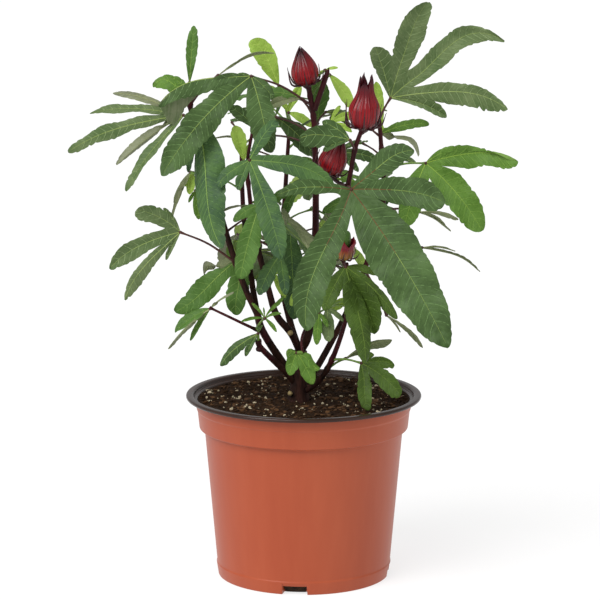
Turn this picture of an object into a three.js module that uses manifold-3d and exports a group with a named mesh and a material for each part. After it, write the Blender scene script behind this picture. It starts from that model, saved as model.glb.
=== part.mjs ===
// Red-fruited hibiscus shrub (roselle type) growing in a round nursery pot.
//
// Millimetres, +Z up. The origin is the centre of the flat underside of the pot, +X is to the
// right and +Y is away from the viewer. Every limb follows one route: its first few
// millimetres are a collar on the limb that carries it, then comes the bare bough, and the
// rest is the stem inside a mass of foliage.

import * as THREE from "three";
import Module from "manifold-3d";

// Driving dimensions of the pot
const POT_HEIGHT = 160;
const RIM_RADIUS = 102;
const BASE_RADIUS = 74.5;
const WALL_TOP_RADIUS = 86;
const COLLAR_LOW_RADIUS = 90.5;
const COLLAR_TOP_RADIUS = 93.5;
const COLLAR_FOOT_HEIGHT = 124;
const COLLAR_EDGE_HEIGHT = 129;
const FOOT_BAND_HEIGHT = 11;
const FOOT_BAND_STEP = 0.7;
const WALL = 1.5;
const LINING_WALL = 1.2;
const FLOOR = 2.2;
const LIP_DROP = 4.6;
const LIP_INNER_RADIUS = 95.5;
const LIP_ROUND = 1.3;
const THROAT_DROP = 2;
const NOTCH_WIDTH = 22;
const NOTCH_HEIGHT = 7.5;
const NOTCH_DEPTH = 9;
const NOTCH_COUNT = 4;
const NOTCH_TURN = -96;
const POT_FACETS = 40;

// Driving dimensions of the potting mix
const MIX_LEVEL = 156;
const MIX_EDGE_LEVEL = 155.5;
const MIX_EDGE_DROP = 2;
const MIX_FLAT_RADIUS = 34;
const MIX_CHAMFER = 12;

// Clearance between neighbouring solids, and the fineness of routes and joined solids
const GAP = 0.3;
const ROUTE_STEPS = 16;
const FUSE_TOLERANCE = 0.02;

// Driving dimensions of the wood. The trunk widens into blunt root ribs at the mix.
const STEM_FACETS = 7;
const TRUNK_FACETS = 12;
const STEM_STATION = 17;
const STEEP = 0.7;
const FLARE_HEIGHT = 9;
const FLARE_WIDTH = 0.42;
const FLARE_RIBS = 5;
const FLARE_RIB_DEPTH = 0.45;
const GROUND_DEPTH = 60;

// Driving dimensions of the leaves. Girth, thickness and arch are shares of a lobe's length,
// fold is a share of its half width and the stalk's arch is a share of the stalk's length.
const PETIOLE_FACETS = 3;
const PETIOLE_RADIUS = 1.15;
const PETIOLE_END_RADIUS = 0.85;
const PETIOLE_ARCH = 0.06;
const LEAF_GIRTH = 0.25;
const LEAF_THICKNESS = 0.016;
const LEAF_THINNEST = 0.9;
const LEAF_FOLD = 0.1;
const LEAF_ARCH = 0.08;
const HUB_RADIUS = 1.7;
const HUB_CORNERS = 4;
const LOBE_ROOT = 2.4;

// How far the outline of a lobe stands out, as [place along it, share of the full width]
const LOBE_OUTLINE = [
  [0.15, 0.46],
  [0.58, 1],
  [0.87, 0.68],
];
const FAR_LOBE_OUTLINE = [
  [0.15, 0.5],
  [0.68, 1],
];

// How far the outline of a calyx stands out, as [place along it, share of the full width]
const CALYX_OUTLINE = [
  [0.06, 0.5],
  [0.3, 1],
  [0.55, 0.82],
  [0.82, 0.42],
];
const CALYX_FACETS = 10;
const CALYX_RIDGE = 0.1;
const CALYX_SEAT = 2.5;

// Bracts under a calyx: first outward, then up. Bend and reach are shares of its girth and
// rise is a share of its length.
const BRACT_COUNT = 8;
const BRACT_RADIUS = 1.2;
const BRACT_TIP_SHARE = 0.36;
const BRACT_SEAT = 2;
const BRACT_DIP = 1;
const BRACT_BEND = 0.5;
const BRACT_REACH = 0.66;
const BRACT_RISE = 0.2;

// Colours seen in daylight
const COLOURS = {
  pot: "#b65a3a",
  lining: "#1d1b1c",
  mix: "#3a2a20",
  bark: "#3b2224",
  leaf: "#4f7a46",
};

// Limbs. A route runs through a few points from inside the carrying limb to the tip.
// "collar" is the length that belongs to the carrier and "enters" is the height at which
// the bare bough ends and its foliage begins. A limb without "bough" is foliage only.
const LIMBS = {
  trunk: {
    bough: "trunk",
    route: [[-5, -10, MIX_LEVEL - 4], [-4, -8, 178], [-3, -7, 199]],
    radii: [7.6, 6],
  },
  left: {
    carrier: "trunk",
    bough: "bough_left",
    route: [[-4, -8, 170], [-16, -12, 186], [-35, -22, 219], [-40, -28, 237]],
    radii: [3.7, 3.1],
    collar: 23,
  },
  left_outer: {
    carrier: "left",
    bough: "bough_left_outer",
    foliage: "foliage_left_outer",
    route: [[-40, -28, 236], [-50, -33, 259], [-63, -38, 298], [-79, -42, 357], [-94, -40, 408],
      [-95, -39, 423]],
    radii: [2.8, 1.8],
    collar: 13,
    enters: 276,
  },
  left_inner: {
    carrier: "left",
    bough: "bough_left_inner",
    foliage: "foliage_left_inner",
    route: [[-39.5, -27, 234], [-46, -10, 270], [-52, 4, 322], [-54, 24, 380]],
    radii: [2.7, 1.6],
    collar: 13,
    enters: 262,
  },
  left_low: {
    carrier: "left",
    foliage: "foliage_left_low",
    route: [[-35, -22, 219], [-42, -31, 223], [-62, -38, 234], [-80, -39, 243]],
    radii: [1.5, 1],
    collar: 7,
  },
  left_stub: {
    carrier: "trunk",
    bough: "bough_left_cut",
    foliage: "foliage_left_cut",
    route: [[-4, -8, 166], [-16, -17, 183], [-36, -32, 206], [-39, -35, 214]],
    radii: [3.1, 2.4],
    collar: 27,
    enters: 203,
  },
  middle_left: {
    carrier: "trunk",
    bough: "bough_middle_left",
    foliage: "foliage_middle_left",
    route: [[-3, -7, 198], [-11, -20, 217], [-23, -32, 235], [-30, -42, 260], [-40, -54, 304],
      [-45, -60, 339], [-47, -62, 370], [-43, -62, 396]],
    radii: [3.4, 1.3],
    collar: 18,
    enters: 290,
  },
  back: {
    carrier: "trunk",
    bough: "bough_back",
    foliage: "foliage_back",
    route: [[-3, -7, 197], [-12, 8, 222], [-20, 26, 262], [-17, 38, 315], [-12, 44, 393]],
    radii: [3.2, 1.5],
    collar: 18,
    enters: 264,
  },
  centre: {
    carrier: "trunk",
    bough: "bough_centre",
    foliage: "foliage_centre",
    route: [[-3, -7, 198], [5, -14, 223], [10, -20, 307], [9, -24, 392], [4, -27, 430]],
    radii: [3.9, 2],
    collar: 17,
    enters: 300,
  },
  centre_low: {
    carrier: "centre",
    foliage: "foliage_foot",
    route: [[3, -12, 218], [1, -24, 221], [-2, -34, 214], [-1, -40, 204]],
    radii: [1.2, 1],
    collar: 7,
  },
  front_right: {
    carrier: "centre",
    bough: "bough_front_right",
    foliage: "foliage_front_right",
    route: [[5, -14, 224], [22, -46, 281], [37, -79, 356], [42, -84, 384], [48, -86, 402]],
    radii: [3.1, 1.8],
    collar: 17,
    enters: 330,
  },
  right: {
    carrier: "trunk",
    bough: "bough_right",
    foliage: "foliage_right",
    route: [[-4, -9, 165], [12, -2, 184], [36, 4, 228], [49, 8, 257], [68, 12, 322], [66, 11, 380],
      [63, 10, 404]],
    radii: [2.9, 1.8],
    collar: 19,
    enters: 252,
  },
  right_low: {
    carrier: "trunk",
    bough: "bough_right_low",
    foliage: "foliage_right_low",
    route: [[-4, -9, 161], [11, -16, 172], [22, -24, 190], [33, -36, 222], [40, -52, 258],
      [36, -66, 286]],
    radii: [2.6, 1.5],
    collar: 19,
    enters: 183,
  },
};

// Leaves that shape the outline. "at" is the height on the stem where the stalk leaves it (the
// tip where none is given), "hub" the point where the lobes meet, "toward" how far the leaf
// tips to the viewer, "lean" how far its face looks up and "arch" how far its lobes bow. Each
// lobe has its bearing in the front plane (anticlockwise from +X), the length it shows there
// and, where it isn't of the usual width, its share of that. Angles are in degrees.
const LEAVES = {
  left_outer: [
    { at: 408, hub: [-87, -59, 408], toward: 18, lean: 30,
      lobes: [[-80, 107], [-93, 88, 0.5], [-110, 52, 0.7]] },
    { at: 398, hub: [-101, -36, 407], toward: 12, lean: 62, arch: 0.05,
      lobes: [[176, 78, 0.8], [-163, 100], [-144, 68], [-129, 80], [160, 62, 0.6]] },
    { at: 416, hub: [-97, -31, 434], toward: 0, lean: 10, lobes: [[88, 47]] },
    { at: 402, hub: [-99, -14, 427], toward: -25, lean: 30,
      lobes: [[-176, 30, 1.6], [152, 30, 1.4]] },
    { at: 286, hub: [-104, -46, 309], toward: 18, lean: 42,
      lobes: [[118, 26], [150, 42, 1.4], [-157, 65], [-130, 72, 0.6], [-120, 30, 0.8]] },
  ],
  left_inner: [
    { at: 271, hub: [-58, -22, 287], toward: 10, lean: 40, arch: 0,
      lobes: [[-162, 34, 1.3], [-142, 70, 1.2], [-102, 52, 1.5]] },
  ],
  left_low: [
    { at: 243, hub: [-81, -39, 243], toward: 5, lean: 60,
      lobes: [[37, 17, 0.8], [-145, 40, 1.1], [-134, 50, 0.6], [-119, 34, 0.8]] },
    { at: 222, hub: [-30, -50, 238], toward: 12, lean: 45, girth: 0.16,
      lobes: [[174, 24], [138, 20], [34, 22], [-48, 15]] },
  ],
  left_stub: [
    { at: 213, hub: [-40, -37, 219], toward: 6, lean: 55, girth: 0.22,
      lobes: [[-142, 43], [-123, 24]] },
  ],
  middle_left: [
    { at: 368, hub: [-45, -78, 375], toward: 14, lean: 40,
      lobes: [[54, 41], [-17, 74], [-73, 87], [-112, 26], [-140, 34]] },
    { at: 352, hub: [-50, -56, 371], toward: 4, lean: 20, girth: 0.44, lobes: [[104, 31]] },
    { at: 318, hub: [-37, -76, 333], toward: 6, lean: 30, lobes: [[-104, 62, 1.2], [-143, 28]] },
    { at: 300, hub: [-22, -64, 286], toward: 6, lean: 30, lobes: [[-121, 44, 1.5], [-86, 30]] },
  ],
  back: [
    { at: 388, hub: [-23, 22, 428], toward: 0, lean: 20, girth: 0.42, lobes: [[116, 41]] },
    { at: 312, hub: [-12, 8, 304], toward: 2, lean: 25, lobes: [[-87, 80], [-112, 34]] },
    { at: 385, hub: [-13, 20, 402], toward: 6, lean: 40,
      lobes: [[128, 30], [-30, 24], [66, 26]] },
  ],
  centre: [
    { at: 412, hub: [-46, -54, 444], toward: 17, lean: 38,
      lobes: [[45, 27, 0.6], [-76, 58, 1.3], [-131, 108], [-160, 80, 1.1], [170, 22]] },
    { at: 420, hub: [22, -10, 438], toward: 2, lean: 40, lobes: [[-56, 34]] },
    { at: 400, hub: [6, -44, 419], toward: 10, lean: 20, girth: 0.44, lobes: [[-81, 36]] },
  ],
  centre_low: [
    { hub: [-1, -40, 204], toward: 8, lean: 35, girth: 0.42,
      lobes: [[-118, 24], [-54, 24], [-76, 30]] },
  ],
  front_right: [
    { at: 352, hub: [39, -102, 354], toward: 20, lean: 28, girth: 0.26, arch: 0.05,
      lobes: [[32, 61, 1.4], [-5, 74, 1.2], [-57, 148], [-107, 116], [-179, 60]] },
    { at: 384, hub: [38, -96, 394], toward: 4, lean: 50, lobes: [[178, 42, 1.3], [146, 26]] },
  ],
  right: [
    { at: 396, hub: [74, 8, 416], toward: 20, lean: 30, girth: 0.2, arch: 0.12,
      lobes: [[105, 47, 1.5], [67, 88, 1.6], [29, 108], [-4, 99], [-16, 50]] },
    { at: 352, hub: [104, -6, 362], toward: 20, lean: 35,
      lobes: [[28, 30], [2, 78], [-50, 79], [-106, 56, 1.2]] },
    { at: 376, hub: [67, 26, 395], toward: -10, lean: 35, girth: 0.2,
      lobes: [[14, 42], [-24, 38], [84, 20]] },
    { at: 316, hub: [100, 36, 318], toward: -14, lean: 70, lobes: [[-8, 32], [-38, 32]] },
    { at: 286, hub: [103, 34, 284], toward: -14, lean: 72, girth: 0.16,
      lobes: [[-26, 56], [-12, 36], [-54, 30]] },
    { at: 264, hub: [72, 24, 230], toward: -6, lean: 70, girth: 0.2,
      lobes: [[-48, 46], [-66, 28]] },
  ],
  right_low: [
    { at: 194, hub: [49, -40, 195], toward: 24, lean: 35, girth: 0.36,
      lobes: [[0, 30], [-33, 42], [-82, 39]] },
    { at: 187, hub: [46, -14, 203], toward: -6, lean: 70, lobes: [[18, 30], [2, 22]] },
    { at: 268, hub: [35, -66, 277], toward: 14, lean: 32, girth: 0.27,
      lobes: [[-76, 82], [-39, 66], [-62, 60, 1.4], [-118, 44], [-12, 26]] },
  ],
};

// Leaves on the far side, placed by a spiral rule between two heights on the stem
const FILLING = {
  left_outer: { from: 300, to: 408, count: 10, turn: 60, stalk: 36, blade: 74 },
  left_inner: { from: 280, to: 376, count: 14, turn: 95, stalk: 52, blade: 86 },
  back: { from: 275, to: 390, count: 18, turn: 60, stalk: 58, blade: 90 },
  centre: { from: 320, to: 415, count: 10, turn: 20, stalk: 40, blade: 76 },
  right: { from: 270, to: 398, count: 18, turn: 20, stalk: 46, blade: 80 },
};
const SPIRAL = 137.5;
const FRONT_LIMIT = 100;
const FILL_FAN = 40;
const FILL_SHARES = [0.86, 1, 0.86];
const FILL_LEAST_LOBES = 2;
const FILL_STALK_FOOT = 0.25;
const FILL_CLEARANCE = 9;
const FILL_LIMB_CLEARANCE = 5;
const CROWN_CENTRE = [-4, 20, 335];
const CROWN_REACH = [112, 150, 128];

// How those leaves change up their stretch of stem: the value half way up, its gain from the
// low end to the high end, and its spread by chance. Climb is the slope of the stalk and droop
// that of the blade. Stalk and blade are shares of the limb's own lengths above.
const FILL_HABIT = {
  climb: { middle: 0.5, gain: 0.35, spread: 0.15 },
  stalk: { middle: 0.83, gain: -0.55, spread: 0.25 },
  droop: { middle: -0.6, gain: 0.7, spread: 0.3 },
  blade: { middle: 0.88, gain: -0.34, spread: 0.23 },
};

// Fruit, each a calyx on the stem's side or top
const CALYXES = [
  { limb: "centre", at: 424, foot: [4, -28, 427], tip: [-5, -30, 463], girth: 25 },
  { limb: "front_right", at: 398, foot: [48, -87, 401], tip: [52, -90, 449], girth: 30 },
  { limb: "front_right", at: 350, foot: [27, -74, 362], tip: [35, -80, 394], girth: 22 },
  { limb: "right_low", at: 285, foot: [37, -68, 285], tip: [38, -74, 310], girth: 19 },
];

const wasm = await Module();
wasm.setup();

const UP = new THREE.Vector3(0, 0, 1);
const RIGHT = new THREE.Vector3(1, 0, 0);

const vector = (point) => new THREE.Vector3(...point);
const radians = (angle) => THREE.MathUtils.degToRad(angle);

// A closed solid from a flat list of corners and triangles
function solidFrom(corners, triangles) {
  return new wasm.Manifold(new wasm.Mesh({
    numProp: 3,
    vertProperties: Float32Array.from(corners),
    triVerts: Uint32Array.from(triangles),
  }));
}

// A closed solid through rings of points that run anticlockwise round the way of travel.
// Each end closes on a point where one is given and is a flat cut otherwise.
function skin(rings, start = null, end = null) {
  const corners = rings.flat().flatMap((point) => point.toArray());
  const triangles = [];
  const count = rings[0].length;
  for (let ring = 0; ring + 1 < rings.length; ring += 1) {
    for (let side = 0; side < count; side += 1) {
      const a = ring * count + side;
      const b = ring * count + (side + 1) % count;
      triangles.push(a, b, b + count, a, b + count, a + count);
    }
  }
  closeEnd(corners, triangles, 0, count, start, false);
  closeEnd(corners, triangles, (rings.length - 1) * count, count, end, true);
  return solidFrom(corners, triangles);
}

// Closes one end ring with a fan about a point, or flat across
function closeEnd(corners, triangles, first, count, point, forward) {
  const push = (a, b, c) => (forward ? triangles.push(a, b, c) : triangles.push(a, c, b));
  if (point) {
    const apex = corners.length / 3;
    corners.push(...point.toArray());
    for (let side = 0; side < count; side += 1) {
      push(first + side, first + (side + 1) % count, apex);
    }
    return;
  }
  for (let side = 1; side + 1 < count; side += 1) {
    push(first, first + side, first + side + 1);
  }
}

// A smooth way through a few points, measured along its length
class Route {
  constructor(points) {
    const curve = new THREE.CatmullRomCurve3(points.map(vector), false, "catmullrom", 0.5);
    this.points = curve.getPoints(ROUTE_STEPS * (points.length - 1));
    this.distances = [0];
    for (let i = 1; i < this.points.length; i += 1) {
      this.distances.push(this.distances[i - 1] + this.points[i].distanceTo(this.points[i - 1]));
    }
    this.length = this.distances.at(-1);
  }

  at(distance) {
    const wanted = THREE.MathUtils.clamp(distance, 0, this.length);
    let i = 1;
    while (i < this.points.length - 1 && this.distances[i] < wanted) {
      i += 1;
    }
    const share = (wanted - this.distances[i - 1]) / (this.distances[i] - this.distances[i - 1]);
    return this.points[i - 1].clone().lerp(this.points[i], share);
  }

  heading(distance) {
    const step = 1;
    const back = Math.max(distance - step, 0);
    const ahead = Math.min(distance + step, this.length);
    return this.at(ahead).sub(this.at(back)).normalize();
  }

  distanceAtHeight(height) {
    const i = this.points.findIndex((point) => point.z >= height);
    return i < 0 ? this.length : this.distances[i];
  }
}

// A tapering round rod along a stretch of a route, with flat cuts at its ends
function rod(route, from, to, radiusAt, facets, shape = () => 1) {
  const stations = Math.max(1, Math.round((to - from) / STEM_STATION));
  const overall = route.at(to).sub(route.at(from)).normalize();
  const reference = Math.abs(overall.z) > STEEP ? RIGHT : UP;
  const rings = [];
  for (let i = 0; i <= stations; i += 1) {
    const distance = from + (to - from) * i / stations;
    const heading = route.heading(distance);
    const side = heading.clone().cross(reference).normalize();
    const other = heading.clone().cross(side);
    const centre = route.at(distance);
    const radius = radiusAt(distance);
    rings.push(Array.from({ length: facets }, (_, facet) => {
      const angle = 2 * Math.PI * facet / facets;
      const reach = radius * shape(distance, angle);
      return centre.clone()
        .addScaledVector(side, reach * Math.cos(angle))
        .addScaledVector(other, reach * Math.sin(angle));
    }));
  }
  return skin(rings);
}

// Joins solids and keeps the one body that the first of them belongs to
function join(solids) {
  const joined = solids.reduce((whole, piece) => whole.add(piece)).simplify(FUSE_TOLERANCE);
  const bodies = joined.decompose();
  return bodies.reduce((largest, body) => (body.volume() > largest.volume() ? body : largest));
}

const routes = Object.fromEntries(
  Object.entries(LIMBS).map(([name, limb]) => [name, new Route(limb.route)]),
);

// Radius of a limb at a distance along its route
function radiusOf(name) {
  const [thick, thin] = LIMBS[name].radii;
  return (distance) => thick + (thin - thick) * distance / routes[name].length;
}

// How much wider than its taper the trunk is near the mix, rib by rib
function flare(distance, angle) {
  const fade = Math.exp(-distance / FLARE_HEIGHT);
  return 1 + FLARE_WIDTH * fade * (1 + FLARE_RIB_DEPTH * Math.cos(FLARE_RIBS * angle));
}

// Distance along a limb at which its bare bough ends
function boughEnd(name) {
  const limb = LIMBS[name];
  return limb.enters ? routes[name].distanceAtHeight(limb.enters) : routes[name].length;
}

// Collars of the limbs that a limb carries, which belong to its own solid
function collarsOn(name) {
  return Object.entries(LIMBS)
    .filter(([, limb]) => limb.carrier === name)
    .map(([carried, limb]) => (
      rod(routes[carried], 0, limb.collar, radiusOf(carried), STEM_FACETS)));
}

// The bare bough of a limb, with the collars of what it carries
function boughSolid(name) {
  const limb = LIMBS[name];
  const facets = limb.carrier ? STEM_FACETS : TRUNK_FACETS;
  const from = limb.carrier ? limb.collar + GAP : 0;
  const shape = limb.carrier ? undefined : flare;
  const bare = rod(routes[name], from, boughEnd(name), radiusOf(name), facets, shape);
  const whole = join([bare, ...collarsOn(name)]);
  return limb.carrier ? whole : join([whole.subtract(belowGround())]);
}

// Everything below the level at which the trunk is cut flat
function belowGround() {
  const geometry = new THREE.BoxGeometry(RIM_RADIUS, RIM_RADIUS, GROUND_DEPTH);
  geometry.translate(0, 0, MIX_LEVEL + GAP - GROUND_DEPTH / 2);
  return geometrySolid(geometry);
}

// One blunt lobe: a thin blade with a keel under its midrib, arched by its own weight
function lobeSolid(leaf, { heading, length, breadth }) {
  const across = heading.clone().cross(leaf.face).normalize();
  const upward = across.clone().cross(heading).normalize();
  const lift = UP.clone().addScaledVector(heading, -heading.z);
  const keel = Math.max(length * LEAF_THICKNESS, LEAF_THINNEST);
  const rings = leaf.outline.map(([place, share]) => {
    const half = length * leaf.girth * breadth * share / 2;
    const centre = leaf.hub.clone()
      .addScaledVector(heading, place * length)
      .addScaledVector(lift, 4 * leaf.arch * length * place * (1 - place));
    const raised = centre.clone().addScaledVector(upward, LEAF_FOLD * half);
    return [
      raised.clone().addScaledVector(across, half),
      centre.clone().addScaledVector(upward, -keel),
      raised.clone().addScaledVector(across, -half),
    ];
  });
  const root = leaf.hub.clone().addScaledVector(heading, -LOBE_ROOT);
  return skin(rings, root, leaf.hub.clone().addScaledVector(heading, length));
}

// The knob at the end of a leaf stalk, where its lobes grow together
function hubSolid(hub) {
  const foot = hub.clone().addScaledVector(UP, -HUB_RADIUS);
  const head = hub.clone().addScaledVector(UP, HUB_RADIUS);
  const ring = Array.from({ length: HUB_CORNERS }, (_, corner) => {
    const angle = 2 * Math.PI * corner / HUB_CORNERS;
    return hub.clone().add(new THREE.Vector3(
      HUB_RADIUS * Math.cos(angle), HUB_RADIUS * Math.sin(angle), 0));
  });
  return skin([ring], foot, head);
}

// A leaf stalk from the middle of its stem to the hub, arching a little on the way
function stalkSolid(root, hub) {
  const middle = root.clone().lerp(hub, 0.5);
  middle.z += root.distanceTo(hub) * PETIOLE_ARCH;
  const route = new Route([root.toArray(), middle.toArray(), hub.toArray()]);
  const radius = (distance) => (
    PETIOLE_RADIUS + (PETIOLE_END_RADIUS - PETIOLE_RADIUS) * distance / route.length);
  return rod(route, 0, route.length, radius, PETIOLE_FACETS);
}

// A leaf as plain values: where its stalk starts, its hub, its face and its lobes
function shownLeaf(limb, leaf) {
  const route = routes[limb];
  const toward = radians(leaf.toward);
  const face = new THREE.Vector3(0, -Math.cos(radians(leaf.lean)), Math.sin(radians(leaf.lean)));
  const lobes = leaf.lobes.map(([bearing, shown, breadth = 1]) => {
    const angle = radians(bearing);
    const heading = new THREE.Vector3(
      Math.cos(angle) * Math.cos(toward), -Math.sin(toward), Math.sin(angle) * Math.cos(toward));
    return { heading, length: shown / Math.cos(toward), breadth };
  });
  return {
    root: route.at(leaf.at ? route.distanceAtHeight(leaf.at) : route.length),
    hub: vector(leaf.hub),
    face,
    girth: leaf.girth ?? LEAF_GIRTH,
    arch: leaf.arch ?? LEAF_ARCH,
    outline: LOBE_OUTLINE,
    lobes,
  };
}

// A small repeatable stream of numbers from 0 to 1
function stream(seed) {
  let state = seed >>> 0;
  return () => {
    state = (Math.imul(state, 1664525) + 1013904223) >>> 0;
    return state / 4294967296;
  };
}

// Leaf number "index" of the far side of a limb, by the spiral rule
function farLeaf(limb, fill, index, next) {
  const share = (index + 0.5) / fill.count;
  const habit = ({ middle, gain, spread }) => (
    middle + gain * (share - 0.5) + spread * (next() - 0.5));
  const route = routes[limb];
  const root = route.at(route.distanceAtHeight(fill.from + (fill.to - fill.from) * share));
  let turn = (((fill.turn + index * SPIRAL) % 360) + 540) % 360 - 180;
  if (Math.abs(turn) > FRONT_LIMIT) {
    turn = Math.sign(turn) * (180 - Math.abs(turn));
  }
  const outward = new THREE.Vector3(Math.sin(radians(turn)), Math.cos(radians(turn)), 0);
  const climb = habit(FILL_HABIT.climb);
  const stalk = fill.stalk * habit(FILL_HABIT.stalk);
  const hub = root.clone()
    .addScaledVector(outward, stalk)
    .addScaledVector(UP, stalk * climb);
  const droop = habit(FILL_HABIT.droop);
  const middle = outward.clone().addScaledVector(UP, droop).normalize();
  const level = middle.clone().cross(UP).normalize();
  const face = level.clone().cross(middle).normalize();
  const blade = fill.blade * habit(FILL_HABIT.blade);
  const lobes = FILL_SHARES.map((size, lobe) => {
    const angle = radians((lobe - (FILL_SHARES.length - 1) / 2) * FILL_FAN);
    const heading = middle.clone().multiplyScalar(Math.cos(angle))
      .addScaledVector(level, Math.sin(angle));
    return { heading, length: blade * size, breadth: 1 };
  });
  return {
    root, hub, face, girth: LEAF_GIRTH, arch: LEAF_ARCH, outline: FAR_LOBE_OUTLINE, lobes,
  };
}

// Shortest distance between two straight lines of limited length
function between(a, b, c, d) {
  const u = b.clone().sub(a);
  const v = d.clone().sub(c);
  const w = a.clone().sub(c);
  const uu = u.dot(u);
  const uv = u.dot(v);
  const vv = v.dot(v);
  const uw = u.dot(w);
  const vw = v.dot(w);
  const spread = uu * vv - uv * uv;
  let s = spread > 1e-9 ? THREE.MathUtils.clamp((uv * vw - vv * uw) / spread, 0, 1) : 0;
  const t = THREE.MathUtils.clamp((uv * s + vw) / vv, 0, 1);
  s = THREE.MathUtils.clamp((uv * t - uw) / uu, 0, 1);
  return w.addScaledVector(u, s).addScaledVector(v, -t).length();
}

// The straight lines that stand for a leaf when room is looked for
function linesOf(leaf) {
  const blades = leaf.lobes.map(({ heading, length }) => (
    [leaf.hub, leaf.hub.clone().addScaledVector(heading, length)]));
  return leaf.root.distanceTo(leaf.hub) > HUB_RADIUS ? [...blades, [leaf.root, leaf.hub]] : blades;
}

// The straight lines that stand for a limb
function limbLines(name) {
  const { points } = routes[name];
  const lines = [];
  for (let i = 0; i + ROUTE_STEPS / 2 < points.length; i += ROUTE_STEPS / 2) {
    lines.push([points[i], points[i + ROUTE_STEPS / 2]]);
  }
  return lines;
}

// Whether a point lies in the rounded space of the far side's crown
function inCrown(point) {
  const offset = point.clone().sub(vector(CROWN_CENTRE)).divide(vector(CROWN_REACH));
  return offset.length() < 1;
}

// Leaves of every limb: first those that shape the outline, then the far side where the
// spiral rule finds room, lobe by lobe
function growLeaves() {
  const grown = Object.fromEntries(Object.keys(LIMBS).map((name) => [name, []]));
  for (const [name, leaves] of Object.entries(LEAVES)) {
    grown[name] = leaves.map((leaf) => shownLeaf(name, leaf));
  }
  const taken = Object.values(grown).flat().flatMap(linesOf);
  for (const [name, fill] of Object.entries(FILLING)) {
    const next = stream(fill.turn * 977 + fill.count);
    const wood = Object.keys(LIMBS).filter((other) => other !== name).flatMap(limbLines);
    for (let index = 0; index < fill.count; index += 1) {
      const leaf = farLeaf(name, fill, index, next);
      const clear = ([a, b]) => (
        taken.every(([c, d]) => between(a, b, c, d) > FILL_CLEARANCE)
        && wood.every(([c, d]) => between(a, b, c, d) > FILL_LIMB_CLEARANCE));
      leaf.lobes = leaf.lobes.filter(({ heading, length }) => {
        const tip = leaf.hub.clone().addScaledVector(heading, length);
        return inCrown(tip) && clear([leaf.hub, tip]);
      });
      const stalk = [leaf.root.clone().lerp(leaf.hub, FILL_STALK_FOOT), leaf.hub];
      if (leaf.lobes.length < FILL_LEAST_LOBES || !clear(stalk)) {
        continue;
      }
      grown[name].push(leaf);
      taken.push(...linesOf(leaf));
    }
  }
  return grown;
}

// A ridged calyx with its pointed tip closed, on a ring of thin bracts
function calyxSolids(limb, calyx) {
  const route = routes[limb];
  const root = route.at(route.distanceAtHeight(calyx.at));
  const foot = vector(calyx.foot);
  const tip = vector(calyx.tip);
  const length = foot.distanceTo(tip);
  const heading = tip.clone().sub(foot).normalize();
  const side = heading.clone().cross(RIGHT).normalize();
  const other = heading.clone().cross(side);
  const spoke = (angle) => side.clone().multiplyScalar(Math.cos(angle))
    .addScaledVector(other, Math.sin(angle));
  const rings = CALYX_OUTLINE.map(([place, share]) => (
    Array.from({ length: CALYX_FACETS }, (_, facet) => {
      const angle = 2 * Math.PI * facet / CALYX_FACETS;
      const ridge = facet % 2 ? 1 - CALYX_RIDGE : 1 + CALYX_RIDGE;
      return foot.clone()
        .addScaledVector(heading, place * length)
        .addScaledVector(spoke(angle), calyx.girth / 2 * share * ridge);
    })));
  const body = skin(rings, foot, tip);
  const bracts = Array.from({ length: BRACT_COUNT }, (_, bract) => {
    const out = spoke(2 * Math.PI * (bract + 0.5) / BRACT_COUNT);
    const start = foot.clone().addScaledVector(heading, BRACT_SEAT);
    const bend = start.clone()
      .addScaledVector(out, calyx.girth * BRACT_BEND).addScaledVector(heading, -BRACT_DIP);
    const end = start.clone()
      .addScaledVector(out, calyx.girth * BRACT_REACH)
      .addScaledVector(heading, length * BRACT_RISE);
    const way = new Route([start.toArray(), bend.toArray(), end.toArray()]);
    const taper = (distance) => (
      BRACT_RADIUS * (1 - (1 - BRACT_TIP_SHARE) * distance / way.length));
    return rod(way, 0, way.length, taper, PETIOLE_FACETS);
  });
  return [stalkSolid(root, foot.clone().addScaledVector(heading, CALYX_SEAT)), body, ...bracts];
}

const leavesOf = growLeaves();

// One mass of foliage: its stem, stalks, leaves and fruit in one body
function foliageSolid(name) {
  const limb = LIMBS[name];
  const from = (limb.bough ? boughEnd(name) : limb.collar) + GAP;
  const solids = [rod(routes[name], from, routes[name].length, radiusOf(name), STEM_FACETS)];
  for (const leaf of leavesOf[name]) {
    solids.push(hubSolid(leaf.hub));
    if (leaf.root.distanceTo(leaf.hub) > HUB_RADIUS) {
      solids.push(stalkSolid(leaf.root, leaf.hub));
    }
    solids.push(...leaf.lobes.map((lobe) => lobeSolid(leaf, lobe)));
  }
  for (const calyx of CALYXES.filter((fruit) => fruit.limb === name)) {
    solids.push(...calyxSolids(name, calyx));
  }
  return join(solids);
}

// A solid of revolution from a profile of [radius, height] that starts and ends on the axis
function turned(profile) {
  const rings = profile.slice(1, -1).map(([radius, height]) => (
    Array.from({ length: POT_FACETS }, (_, facet) => {
      const angle = 2 * Math.PI * facet / POT_FACETS;
      return new THREE.Vector3(radius * Math.cos(angle), radius * Math.sin(angle), height);
    })));
  const pole = ([, height]) => new THREE.Vector3(0, 0, height);
  return skin(rings, pole(profile[0]), pole(profile.at(-1)));
}

// Outer radius of the plain wall at a height below the collar
function wallRadius(height) {
  return BASE_RADIUS + (WALL_TOP_RADIUS - BASE_RADIUS) * height / COLLAR_FOOT_HEIGHT;
}

// Drainage notches at the foot, one facing the viewer a little left of the middle
function notches() {
  return Array.from({ length: NOTCH_COUNT }, (_, index) => {
    const geometry = new THREE.BoxGeometry(2 * NOTCH_DEPTH, NOTCH_WIDTH, 2 * NOTCH_HEIGHT);
    geometry.translate(BASE_RADIUS, 0, 0);
    geometry.rotateZ(radians(NOTCH_TURN + index * 360 / NOTCH_COUNT));
    return geometrySolid(geometry);
  });
}

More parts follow.
